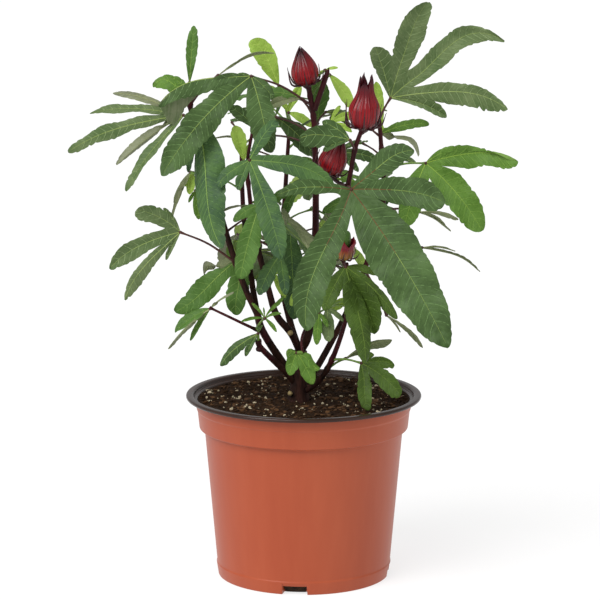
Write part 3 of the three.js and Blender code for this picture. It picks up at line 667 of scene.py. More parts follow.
class Route:
    """A smooth way through a few points, measured along its length.

    Between two points the way is the cubic that passes through both, with each end slope half
    of the step between the neighbours on either side.
    """

    def __init__(self, points: Sequence[Sequence[float]]) -> None:
        """Samples the way at equal steps of its parameter.

        Args:
            points: the points in millimetres.
        """
        marks = np.array(points, float)
        padded = np.vstack([2 * marks[0] - marks[1], marks, 2 * marks[-1] - marks[-2]])
        before, here, there, beyond = padded[:-3], padded[1:-2], padded[2:-1], padded[3:]
        leave = ROUTE_TENSION * (there - before)
        arrive = ROUTE_TENSION * (beyond - here)
        u = (np.arange(ROUTE_STEPS) / ROUTE_STEPS)[None, :, None]
        square = (-3 * here + 3 * there - 2 * leave - arrive)[:, None]
        cube = (2 * here - 2 * there + leave + arrive)[:, None]
        curve = here[:, None] + leave[:, None] * u + square * u**2 + cube * u**3
        self.points = np.vstack([curve.reshape(-1, 3), marks[-1:]])
        steps = np.linalg.norm(np.diff(self.points, axis=0), axis=1)
        self.distances = np.concatenate([[0.0], np.cumsum(steps)])
        self.length = float(self.distances[-1])

    def at(self, distance: float | np.ndarray) -> np.ndarray:
        """Places at distances along the way."""
        return np.stack([np.interp(distance, self.distances, self.points[:, k]) for k in range(3)], -1)

    def heading(self, distance: float | np.ndarray) -> np.ndarray:
        """Directions of travel at distances along the way, over a millimetre either side."""
        back = np.maximum(np.asarray(distance) - 1.0, 0.0)
        ahead = np.minimum(np.asarray(distance) + 1.0, self.length)
        return unit(self.at(ahead) - self.at(back))

    def distance_at_height(self, height: float) -> float:
        """Distance of the first sample that is at or above a height."""
        reached = np.nonzero(self.points[:, 2] >= height)[0]
        return float(self.distances[reached[0]]) if len(reached) else self.length

    def marks(self, count: int) -> tuple[np.ndarray, np.ndarray]:
        """Evenly spaced distances along the way, and their shares of its length."""
        distances = np.linspace(0.0, self.length, count)
        return distances, distances / self.length

    def rings(self, distances: np.ndarray, radii: np.ndarray) -> np.ndarray:
        """Rings of points round the way.

        Each is the way's point plus its radius times (cos angle along one axis plus sin angle along
        another), both axes at right angles to the heading.

        Args:
            distances: n distances along the way.
            radii: n by m radii.

        Returns:
            n by m by 3 places, anticlockwise round the way of travel.
        """
        angles = turns(radii.shape[1])[None, :, None]
        heading = self.heading(distances)
        overall = self.points[-1] - self.points[0]
        reference = RIGHT if abs(unit(overall)[2]) > 0.7 else UP
        side = unit(np.cross(heading, reference))[:, None]
        other = np.cross(heading[:, None], side)
        around = side * np.cos(angles) + other * np.sin(angles)
        return self.at(distances)[:, None] + radii[..., None] * around


# Limbs


@dataclass(frozen=True)
class Limb:
    """One limb of the plant.

    Attributes:
        route: points from inside the carrying limb to the tip.
        radii: radius at its foot and at its tip.
        bough: node of its bare bough.
        foliage: node of its mass of foliage.
        carrier: limb that carries it.
        red: whether its upper part is still red rather than brown.
    """

    route: tuple[tuple[float, float, float], ...]
    radii: tuple[float, float]
    bough: str = ""
    foliage: str = ""
    carrier: str = ""
    red: bool = False


LIMBS: dict[str, Limb] = {
    "trunk": Limb(((-5, -10, MIX_LEVEL - 4), (-4, -8, 178), (-3, -7, 199)), (7.6, 6.0), "trunk"),
    "left": Limb(((-4, -8, 170), (-16, -12, 186), (-35, -22, 219), (-40, -28, 237)), (3.7, 3.1),
        "bough_left", carrier="trunk"),
    "left_outer": Limb(((-40, -28, 236), (-50, -33, 259), (-63, -38, 298), (-79, -42, 357),
        (-94, -40, 408), (-95, -39, 423)), (2.8, 1.8), "bough_left_outer", "foliage_left_outer",
        "left"),
    "left_inner": Limb(((-39.5, -27, 234), (-46, -10, 270), (-52, 4, 322), (-54, 24, 380)), (2.7, 1.6),
        "bough_left_inner", "foliage_left_inner", "left"),
    "left_low": Limb(((-35, -22, 219), (-42, -31, 223), (-62, -38, 234), (-80, -39, 243)), (1.5, 1.0),
        "", "foliage_left_low", "left", red=True),
    "left_stub": Limb(((-4, -8, 166), (-16, -17, 183), (-36, -32, 206), (-39, -35, 214)), (3.1, 2.4),
        "bough_left_cut", "foliage_left_cut", "trunk"),
    "middle_left": Limb(((-3, -7, 198), (-11, -20, 217), (-23, -32, 235), (-30, -42, 260),
        (-40, -54, 304), (-45, -60, 339), (-47, -62, 370), (-43, -62, 396)), (3.4, 1.3),
        "bough_middle_left", "foliage_middle_left", "trunk"),
    "back": Limb(((-3, -7, 197), (-12, 8, 222), (-20, 26, 262), (-17, 38, 315), (-12, 44, 393)),
        (3.2, 1.5), "bough_back", "foliage_back", "trunk"),
    "centre": Limb(((-3, -7, 198), (5, -14, 223), (10, -20, 307), (9, -24, 392), (4, -27, 430)),
        (3.9, 2.0), "bough_centre", "foliage_centre", "trunk", red=True),
    "centre_low": Limb(((3, -12, 218), (1, -24, 221), (-2, -34, 214), (-1, -40, 204)), (1.2, 1.0), "",
        "foliage_foot", "centre", red=True),
    "front_right": Limb(((5, -14, 224), (22, -46, 281), (37, -79, 356), (42, -84, 384), (48, -86, 402)),
        (3.1, 1.8), "bough_front_right", "foliage_front_right", "centre", red=True),
    "right": Limb(((-4, -9, 165), (12, -2, 184), (36, 4, 228), (49, 8, 257), (68, 12, 322),
        (66, 11, 380), (63, 10, 404)), (2.9, 1.8), "bough_right", "foliage_right", "trunk", red=True),
    "right_low": Limb(((-4, -9, 161), (11, -16, 172), (22, -24, 190), (33, -36, 222), (40, -52, 258),
        (36, -66, 286)), (2.6, 1.5), "bough_right_low", "foliage_right_low", "trunk", red=True),
}
ROUTES: dict[str, Route] = {name: Route(limb.route) for name, limb in LIMBS.items()}


# Leaves


@dataclass(frozen=True)
class Spoke:
    """One lobe of a planned leaf, as the viewer sees it.

    Attributes:
        bearing: direction in the front plane, anticlockwise from +X in degrees.
        shown: length that it shows there.
        breadth: share of the usual width.
        roll: turn about its length in degrees; past a quarter it shows its underside.
        forward: tip to the viewer beyond the leaf's, in degrees.
        bend: sideways bow, clockwise as seen, as a share of its length.
        belly: where it is widest, as a share of its length.
        joined: how far it is webbed to its neighbours, against the leaf's usual.
        tint: its own colours, if any.
    """

    bearing: float
    shown: float
    breadth: float = 1.0
    roll: float = 0.0
    forward: float = 0.0
    bend: float = 0.0
    belly: float = 0.58
    joined: float = 1.0
    tint: Tint | None = None


@dataclass(frozen=True)
class Plan:
    """A leaf that shapes the outline, as the viewer sees it.

    Attributes:
        hub: point where the lobes meet.
        lobes: its lobes.
        toward: its tip to the viewer in degrees.
        lean: how far its face looks up, in degrees.
        at: height on the stem where its stalk leaves, or None for the stem's tip.
        girth: width of a lobe as a share of its length.
        arch: how far its lobes bow, as a share of their length.
        tint: its colours.
        blunt: from 0.4 for round lobes to 1 for pointed ones.
        web: how far the lobes are webbed, as a share of their mean length.
        green: whether its stalk is green rather than red.
        red_rib: whether its midribs start red.
    """

    hub: tuple[float, float, float]
    lobes: tuple[Spoke, ...]
    toward: float
    lean: float
    at: float | None = None
    girth: float = LEAF_GIRTH
    arch: float = LEAF_ARCH
    tint: Tint = Tint.MID
    blunt: float = 0.58
    web: float = 0.22
    green: bool = False
    red_rib: bool = False


PLANS: dict[str, tuple[Plan, ...]] = {
    "left_outer": (
        Plan((-90, -59, 408), (Spoke(-78, 107, 1.06, belly=0.42, bend=0.055),
            Spoke(-84, 84, 0.4, forward=-8), Spoke(-98, 46, 0.6, forward=-12)), 18, 30, 408,
            tint=Tint.DEEP, blunt=0.6),
        Plan((-101, -36, 407), (Spoke(162, 62, 0.5, roll=135, forward=-8, bend=0.03, joined=0.1,
            tint=Tint.GREY), Spoke(178, 78, 0.5, roll=25, forward=-3, bend=0.03),
            Spoke(-163.5, 100, 0.48, roll=14, bend=0.03, belly=0.6),
            Spoke(-144, 70, 0.6, roll=138, forward=-6, joined=0.1, tint=Tint.GREY),
            Spoke(-127.8, 78, 0.56, roll=12, forward=3, bend=0.02)), 12, 62, 398, arch=0.05,
            tint=Tint.SAGE, web=0.11),
        Plan((-96, -31, 434), (Spoke(85, 48, 0.95, belly=0.5),), 0, 10, 416, tint=Tint.MID),
        Plan((-97, -14, 424), (Spoke(172, 32, 1.8, roll=24, bend=0.14), Spoke(143, 19, 1.5, roll=-30),
            Spoke(-150, 24, 1.6)), -25, 30, 402, tint=Tint.FRESH, web=0.4, green=True),
        Plan((-104, -46, 309), (Spoke(122, 26, 0.8), Spoke(149, 42, 1.85, belly=0.7),
            Spoke(-154.8, 65, 0.95, bend=0.02, belly=0.62), Spoke(-130.5, 71, 0.42, bend=0.03),
            Spoke(-118, 26, 0.6, forward=-8)), 18, 42, 280, tint=Tint.SAGE, blunt=0.5, web=0.26),
    ),
    "left_inner": (
        Plan((-53, -22, 284.5), (Spoke(-153, 36, 1.2, roll=140, forward=-6, bend=0.2, tint=Tint.GREY),
            Spoke(-141, 73, 1.1, bend=-0.04), Spoke(-95, 50, 1.5, bend=0.03)), 10, 40, 271, arch=0.0,
            tint=Tint.MID, web=0.34),
    ),
    "left_low": (
        Plan((-79.5, -39, 242), (Spoke(36, 25, 1.0, roll=135, tint=Tint.GREY),
            Spoke(-146, 36, 1.25, belly=0.5),
            Spoke(-138, 48, 0.6, roll=110, forward=10, tint=Tint.GREY), Spoke(-122, 32, 0.6)), 5, 45,
            243, tint=Tint.MID, web=0.16),
        Plan((-33, -50, 235.8), (Spoke(-174, 20, 0.9), Spoke(128, 18, 1.0), Spoke(96, 10),
            Spoke(52, 26, 0.8, bend=0.05), Spoke(20, 15), Spoke(-48, 15, 1.2)), 12, 45, 222, girth=0.18,
            tint=Tint.FRESH, web=0.08, green=True),
    ),
    "left_stub": (
        Plan((-39, -37, 220), (Spoke(-140, 42, 0.85, bend=0.02), Spoke(-119, 22, 0.9), Spoke(62, 9),
            Spoke(100, 7)), 6, 55, 213, girth=0.24, tint=Tint.OLIVE, web=0.4, green=True),
    ),
    "middle_left": (
        Plan((-45, -78, 375), (Spoke(54, 41, 1.35, roll=-10, bend=-0.04),
            Spoke(-17, 74, 1.0, roll=12, bend=-0.05), Spoke(-71.5, 84, 0.82, belly=0.62),
            Spoke(-112, 26, 1.1), Spoke(-140, 34, 1.2, bend=0.05)), 14, 40, 368, tint=Tint.DEEP,
            blunt=0.52, web=0.14),
        Plan((-50, -56, 371), (Spoke(104, 31), Spoke(70, 16, 0.7)), 4, 20, 352, girth=0.44,
            tint=Tint.LIME, green=True),
        Plan((-36.5, -76, 337.5), (Spoke(-105, 64, 1.15, belly=0.6), Spoke(-148, 26, 1.2)), 6, 30, 318,
            tint=Tint.MID, blunt=0.5, web=0.3),
        Plan((-20, -64, 293), (Spoke(-118, 38, 1.3), Spoke(-82, 34)), 6, 30, 304, tint=Tint.DEEP),
    ),
    "back": (
        Plan((-21.5, 22, 425), (Spoke(119, 46, 1.06, bend=0.02),), 0, 20, 388, girth=0.42,
            tint=Tint.LIME, blunt=0.45, green=True),
        Plan((-12, 8, 304), (Spoke(-87, 80), Spoke(-112, 34)), 2, 25, 312, tint=Tint.DEEP),
        Plan((-13, 20, 402), (Spoke(128, 30, 1.3), Spoke(-30, 24, 1.4), Spoke(66, 26, 1.4)), 6, 40, 385,
            tint=Tint.LIME, green=True),
    ),
    "centre": (
        Plan((-43.8, -54, 442), (Spoke(-44, 26, 1.3, forward=-4), Spoke(-75, 64, 1.4, bend=0.01),
            Spoke(-133, 108, 0.9, belly=0.6), Spoke(-163.5, 80, 1.2, roll=-14, forward=-7, bend=0.07),
            Spoke(172, 12, roll=60, forward=-8)), 17, 38, 412, tint=Tint.OLIVE, web=0.16),
        Plan((22, -10, 438), (Spoke(-56, 34, 1.2),), 2, 40, 420, tint=Tint.LIME, green=True),
        Plan((12, -6, 396), (Spoke(88, 38),), 4, 20, 388, girth=0.52, tint=Tint.MID),
    ),
    "centre_low": (
        Plan((-6, -40, 204), (Spoke(-108, 20, 1.2, roll=25), Spoke(-36, 24, 0.9, roll=-30, bend=0.1),
            Spoke(-62, 30, 0.8), Spoke(172, 9, 1.3)), 8, 35, girth=0.46, tint=Tint.FRESH, web=0.42,
            green=True),
    ),
    "front_right": (
        Plan((39, -102, 354), (Spoke(35, 62, 1.25, bend=-0.05, joined=1.2),
            Spoke(-5, 76, 1.3, belly=0.72, bend=-0.02, joined=1.2),
            Spoke(-57.4, 145, 1.08, belly=0.4, joined=0.5),
            Spoke(-108.5, 116, 0.88, belly=0.66, bend=0.06, joined=0.3),
            Spoke(-179, 60, 0.78, bend=0.03)), 20, 28, 352, girth=0.26, arch=0.05, tint=Tint.OLIVE,
            web=0.15, red_rib=True),
        Plan((38, -96, 394), (Spoke(178, 42, 1.9, roll=-15, bend=0.04, belly=0.5),
            Spoke(146, 28, 1.7, roll=10), Spoke(-160, 24, 1.3, roll=-40)), 4, 50, 384, tint=Tint.OLIVE,
            web=0.5),
    ),
    "right": (
        Plan((74, 8, 416), (Spoke(107, 48, 1.65, belly=0.66, joined=1.8),
            Spoke(70.8, 90, 1.4, bend=-0.015, joined=1.25),
            Spoke(29.2, 108, 0.86, bend=-0.12, belly=0.55, joined=1.05),
            Spoke(-3.2, 98, 0.72, bend=-0.04, belly=0.45, joined=0.7),
            Spoke(-17, 50, 0.9, forward=-8, belly=0.7, joined=0.7)), 20, 30, 396, girth=0.2, arch=0.08,
            tint=Tint.SAGE, blunt=0.5, web=0.3),
        Plan((104, -6, 362), (Spoke(28, 30, 1.1), Spoke(3.5, 77, 1.2, belly=0.52, bend=-0.035),
            Spoke(-49, 72, 1.25, belly=0.5), Spoke(-110, 54, 1.35, roll=-20)), 20, 35, 352,
            tint=Tint.FRESH, blunt=0.42, web=0.2, green=True),
        Plan((67, 26, 383), (Spoke(11, 42, 1.1, roll=-30, tint=Tint.FRESH),
            Spoke(-31, 38, 1.4, roll=125, bend=-0.22), Spoke(96, 45, 1.05, tint=Tint.LIME)), -4, 35,
            370, girth=0.22, tint=Tint.GREY, web=0.1, green=True),
        Plan((100, 36, 313), (Spoke(-13, 36, 0.38, bend=-0.03), Spoke(-33, 34, 0.7),
            Spoke(-24, 20, 0.4)), -14, 70, 314, tint=Tint.GREY),
        Plan((103, 34, 282), (Spoke(-25, 57, 0.6, bend=-0.08), Spoke(-9, 30, 0.6)), -14, 72, 284,
            girth=0.15, tint=Tint.GREY),
        Plan((72, 24, 224), (Spoke(-43, 44, 0.4, bend=-0.06), Spoke(-52, 20, 0.4)), -6, 70, 264,
            girth=0.18, tint=Tint.GREY),
    ),
    "right_low": (
        Plan((49, -40, 195), (Spoke(0, 28, 1.2, bend=-0.05, belly=0.7), Spoke(42, 14, 1.2),
            Spoke(-36, 41, 1.0, belly=0.66), Spoke(-81, 38, 0.75, bend=0.04)), 24, 35, 194, girth=0.36,
            tint=Tint.SHADE, blunt=0.45, web=0.3, green=True),
        Plan((36, -16, 194), (Spoke(21, 43, 0.6), Spoke(8, 24, 0.5)), -6, 70, 185, tint=Tint.GREY,
            green=True),
        Plan((35, -66, 283), (Spoke(-78, 80, 0.85, bend=-0.02, belly=0.5), Spoke(-44, 60, 0.8),
            Spoke(-66, 62, 1.5, forward=-12), Spoke(-117, 40, 1.2), Spoke(-12, 26)), 14, 32, 268,
            girth=0.27, tint=Tint.SHADE, web=0.18),
    ),
}

# Small leaves on side shoots among the shown ones: limb and plan, as the viewer sees them
SHOOTS: dict[str, tuple[Plan, ...]] = {
    "left_outer": (
        Plan((-96, -24, 357), (Spoke(-112, 42, 0.6, roll=120), Spoke(-118, 30, 0.9)), 0, 60, 346,
            girth=0.2, tint=Tint.GREY, green=True),
        Plan((-78, -10, 333), (Spoke(-104, 26, 1.5), Spoke(-60, 18)), 4, 40, 326, tint=Tint.LIME,
            green=True),
        Plan((-78, -20, 346), (Spoke(-50, 10), Spoke(-80, 14, 0.8)), 2, 40, 342, girth=0.2,
            tint=Tint.OLIVE, green=True),
        Plan((-72, -30, 440), (Spoke(21, 51, 0.3, roll=75, bend=-0.06),), 0, 40, 416, tint=Tint.GREY),
        Plan((-94, -20, 356), (Spoke(-100, 19, 1.5), Spoke(-120, 14)), 0, 40, 346, tint=Tint.LIME,
            green=True),
        Plan((-92, -16, 340), (Spoke(-84, 25, 1.2), Spoke(-120, 12)), 0, 40, 332, tint=Tint.FRESH,
            green=True),
    ),
    "middle_left": (
        Plan((-46, -34, 330), (Spoke(-166, 25, 0.8, roll=70),), 0, 60, 326, girth=0.2, tint=Tint.GREY,
            green=True),
    ),
    "left_inner": (
        Plan((-30, -16, 296), (Spoke(170, 26, 0.9, bend=0.1), Spoke(150, 16)), 4, 50, 286, girth=0.2,
            tint=Tint.GREY, green=True),
        Plan((-28, -4, 268), (Spoke(-62, 26), Spoke(-100, 18), Spoke(-20, 18)), 4, 40, 262,
            tint=Tint.LIME, green=True),
    ),
    "centre": (
        Plan((-36, -4, 386), (Spoke(138, 37, 1.4),), 4, 40, 378, tint=Tint.OLIVE),
        Plan((-2, -20, 419), (Spoke(-166, 30, 1.2), Spoke(170, 30, 1.4, tint=Tint.MID)), 4, 40, 404,
            tint=Tint.GREY),
        Plan((-24, -8, 402), (Spoke(-45, 48, 1.4), Spoke(70, 16)), 4, 40, 384, tint=Tint.OLIVE),
        Plan((22, -22, 398), (Spoke(20, 24, 1.3), Spoke(60, 18), Spoke(-20, 20)), 4, 40, 388,
            tint=Tint.LIME, green=True),
        Plan((28, -18, 372), (Spoke(-8, 34, 1.2), Spoke(28, 24), Spoke(-40, 24)), 4, 45, 360,
            tint=Tint.OLIVE, green=True),
        Plan((-6, -28, 344), (Spoke(-150, 30, 1.2), Spoke(-114, 28)), 4, 40, 338, tint=Tint.MID),
        Plan((0, -30, 262), (Spoke(-120, 22, 1.2), Spoke(-80, 20), Spoke(-40, 16)), 4, 40, 254,
            tint=Tint.LIME, green=True),
        Plan((18, -27, 444), (Spoke(10, 11, 1.3), Spoke(-160, 5)), 0, 40, 430, tint=Tint.LIME,
            green=True),
    ),
    "right": (
        Plan((13, -44, 240), (Spoke(-94, 28, 1.0), Spoke(-60, 15)), 4, 40, 234, tint=Tint.FRESH,
            green=True),
        Plan((20, -40, 243), (Spoke(-88, 29, 1.4), Spoke(-40, 18)), 4, 40, 238, tint=Tint.SAGE,
            green=True),
        Plan((46, 0, 330), (Spoke(-160, 32, 1.3), Spoke(-120, 26), Spoke(160, 20)), 2, 40, 318,
            tint=Tint.MID),
        Plan((44, -6, 246), (Spoke(-150, 26, 1.2), Spoke(-110, 22), Spoke(-60, 18)), 2, 45, 240,
            tint=Tint.LIME, green=True),
    ),
}


@dataclass(frozen=True)
class Fill:
    """Leaves placed by the spiral rule between two heights on a stem."""

    low: float
    high: float
    count: int
    turn: float
    stalk: float
    blade: float


FILLS: dict[str, Fill] = {
    "left_outer": Fill(300, 408, 10, 60, 36, 74),
    "left_inner": Fill(280, 376, 14, 95, 52, 86),
    "back": Fill(275, 390, 18, 60, 58, 90),
    "centre": Fill(320, 415, 10, 20, 40, 76),
    "right": Fill(270, 398, 18, 20, 46, 80),
}

# Smaller leaves between those, on the stems' own side shoots
FINE_FILLS: dict[str, Fill] = {
    "left_inner": Fill(268, 380, 26, 10, 28, 52),
    "back": Fill(262, 392, 34, 130, 32, 56),
    "centre": Fill(300, 412, 22, 80, 26, 48),
    "right": Fill(250, 400, 30, 100, 28, 50),
    "middle_left": Fill(296, 388, 18, 40, 26, 50),
    "left_outer": Fill(286, 410, 20, 0, 24, 46),
}
FINE_CLEARANCE = 5.5
FINE_LIMB_CLEARANCE = 3.0
FINE_GIRTH = 0.32

# Where the viewer sees through the crown: X, Z and radius on the plane of the pot's axis
OPENINGS = (
    (-98, 299, 14), (-110, 329, 12), (-132, 329, 20), (-61, 338, 9), (-61, 310, 9), (-52, 325, 6),
    (-63, 370, 9), (-72, 392, 7), (-86, 284, 11), (-36, 299, 5), (-15, 377, 7), (-27, 354, 9),
    (21, 330, 11), (-58, 341, 9), (115, 327, 8), (-19, 355, 7), (-5, 316, 6), (-77, 220, 14),
    (-51, 233, 8), (41, 303, 8), (31, 216, 7), (48, 362, 8), (78, 385, 10), (78, 325, 5), (90, 407, 8),
    (107, 301, 10), (117, 390, 14),
)
OPENING_MARGIN = 0.06


@dataclass(frozen=True)
class Habit:
    """A value that changes up the stem: half-way value, gain from low to high, chance."""

    middle: float
    gain: float
    spread: float

    def at(self, share: float, draw: float) -> float:
        """The value at a share of the stretch, with a number drawn from 0 to 1."""
        return self.middle + self.gain * (share - 0.5) + self.spread * (draw - 0.5)


CLIMB = Habit(0.5, 0.35, 0.15)
STALK = Habit(0.83, -0.55, 0.25)
DROOP = Habit(-0.6, 0.7, 0.3)
BLADE = Habit(0.88, -0.34, 0.23)


@dataclass
class Lobe:
    """One lobe of a leaf: its direction, length and shape."""

    heading: np.ndarray
    length: float
    breadth: float = 1.0
    roll: float = 0.0
    bend: float = 0.0
    belly: float = 0.58
    joined: float = 1.0
    tint: Tint | None = None


@dataclass
class Leaf:
    """One leaf, as the places and shares its meshes are worked out from."""

    root: np.ndarray
    hub: np.ndarray
    face: np.ndarray
    lobes: list[Lobe]
    girth: float = LEAF_GIRTH
    arch: float = LEAF_ARCH
    tint: Tint = Tint.MID
    blunt: float = 0.55
    web: float = 0.22
    green: bool = False
    red_rib: bool = False
    far: bool = False

    def lines(self) -> np.ndarray:
        """Straight lines from hub to lobe tips, and along the stalk, as n by 2 by 3 places."""
        tips = [self.hub + lobe.heading * lobe.length for lobe in self.lobes]
        lines = [(self.hub, tip) for tip in tips]
        if np.linalg.norm(self.root - self.hub) > HUB_RADIUS:
            lines.append((self.root, self.hub))
        return np.array(lines)


def shown_leaf(limb: str, plan: Plan) -> Leaf:
    """A leaf of the plans, with its lobes as directions in space.

    A lobe with bearing b that tips forward by t heads (cos b cos t, -sin t, sin b cos t), and
    its true length is the shown one divided by cos t.

    Args:
        limb: name of the limb that carries it.
        plan: how the viewer sees it.

    Returns:
        The leaf.
    """
    lean = math.radians(plan.lean)
    lobes = []
    for spoke in plan.lobes:
        angle, tip = math.radians(spoke.bearing), math.radians(plan.toward + spoke.forward)
        level = math.cos(tip)
        heading = np.array([math.cos(angle) * level, -math.sin(tip), math.sin(angle) * level])
        shape = (spoke.breadth, math.radians(spoke.roll), spoke.bend, spoke.belly)
        lobes.append(Lobe(heading, spoke.shown / level, *shape, spoke.joined, spoke.tint))
    route = ROUTES[limb]
    height = route.length if plan.at is None else route.distance_at_height(plan.at)
    return Leaf(
        root=route.at(height),
        hub=np.array(plan.hub, float),
        face=np.array([0.0, -math.cos(lean), math.sin(lean)]),
        lobes=lobes,
        girth=plan.girth,
        arch=plan.arch,
        tint=plan.tint,
        blunt=plan.blunt,
        web=plan.web,
        green=plan.green,
        red_rib=plan.red_rib,
    )


def far_leaf(limb: str, fill: Fill, index: int, draw: Callable[[], float]) -> Leaf:
    """A leaf of the spiral rule, with its main lobes.

    Its turn about the stem grows by the spiral angle from leaf to leaf, and what would point to
    the viewer is mirrored to the back. Stalk and blade shorten and lift towards the top.

    Args:
        limb: name of the limb that carries it.
        fill: heights, count and sizes for that limb.
        index: its number from the bottom.
        draw: stream of numbers from 0 to 1.

    Returns:
        The leaf.
    """
    share = (index + 0.5) / fill.count
    route = ROUTES[limb]
    root = route.at(route.distance_at_height(fill.low + (fill.high - fill.low) * share))
    turn = ((fill.turn + index * SPIRAL) % 360.0 + 540.0) % 360.0 - 180.0
    if abs(turn) > FRONT_LIMIT:
        turn = math.copysign(180.0 - abs(turn), turn)
    outward = np.array([math.sin(math.radians(turn)), math.cos(math.radians(turn)), 0.0])
    climb = CLIMB.at(share, draw())
    stalk = fill.stalk * STALK.at(share, draw())
    hub = root + outward * stalk + UP * stalk * climb
    droop = DROOP.at(share, draw())
    middle = unit(outward + UP * droop)
    level = unit(np.cross(middle, UP))
    blade = fill.blade * BLADE.at(share, draw())
    lobes = []
    for lobe, size in enumerate(FILL_SHARES):
        angle = math.radians((lobe - (len(FILL_SHARES) - 1) / 2) * FILL_FAN)
        lobes.append(Lobe(middle * math.cos(angle) + level * math.sin(angle), blade * size))
    return Leaf(root, hub, unit(np.cross(level, middle)), lobes, far=True)


def clearance(a: np.ndarray, b: np.ndarray, lines: np.ndarray) -> float:
    """Shortest distance from one straight line of limited length to many.

    The nearest points of the endless lines are found, then held to their own line's ends.

    Args:
        a: start of the line.
        b: end of the line.
        lines: n by 2 by 3 places of the other lines.

    Returns:
        The distance in millimetres.
    """
    u, v, w = b - a, lines[:, 1] - lines[:, 0], a - lines[:, 0]
    uu, vv = u @ u, (v * v).sum(1)
    uv, uw, vw = v @ u, w @ u, (v * w).sum(1)
    spread = uu * vv - uv * uv
    safe = np.where(spread > 1e-9, spread, 1.0)
    s = np.where(spread > 1e-9, np.clip((uv * vw - vv * uw) / safe, 0.0, 1.0), 0.0)
    t = np.clip((uv * s + vw) / vv, 0.0, 1.0)
    s = np.clip((uv * t - uw) / uu, 0.0, 1.0)
    return float(np.linalg.norm(w + s[:, None] * u - t[:, None] * v, axis=1).min())


def limb_lines(name: str) -> np.ndarray:
    """Straight lines that stand for a limb, each over half a span."""
    marks = ROUTES[name].points[:: ROUTE_STEPS // 2]
    return np.stack([marks[:-1], marks[1:]], 1)


def in_crown(point: np.ndarray) -> bool:
    """Whether a point lies in the rounded space of the crown."""
    return bool(np.linalg.norm((point - CROWN_CENTRE) / CROWN_REACH) < 1.0)


def hides_opening(hub: np.ndarray, lobe: Lobe) -> bool:
    """Whether a lobe stands before or behind an opening of the crown, as the viewer sees it.

    Its places are moved along the line to the eye on to the plane of the pot's axis, where the
    openings are discs.
    """
    eye = np.array(EYE)
    marks = hub + lobe.heading * lobe.length * np.linspace(0.1, 1.0, 7)[:, None]
    share = -eye[1] / (marks[:, 1:2] - eye[1])
    seen = eye + (marks - eye) * share
    discs = np.array(OPENINGS)
    apart = np.linalg.norm(seen[:, None, [0, 2]] - discs[None, :, :2], axis=2)
    return bool((apart < discs[:, 2] + OPENING_MARGIN * lobe.length).any())


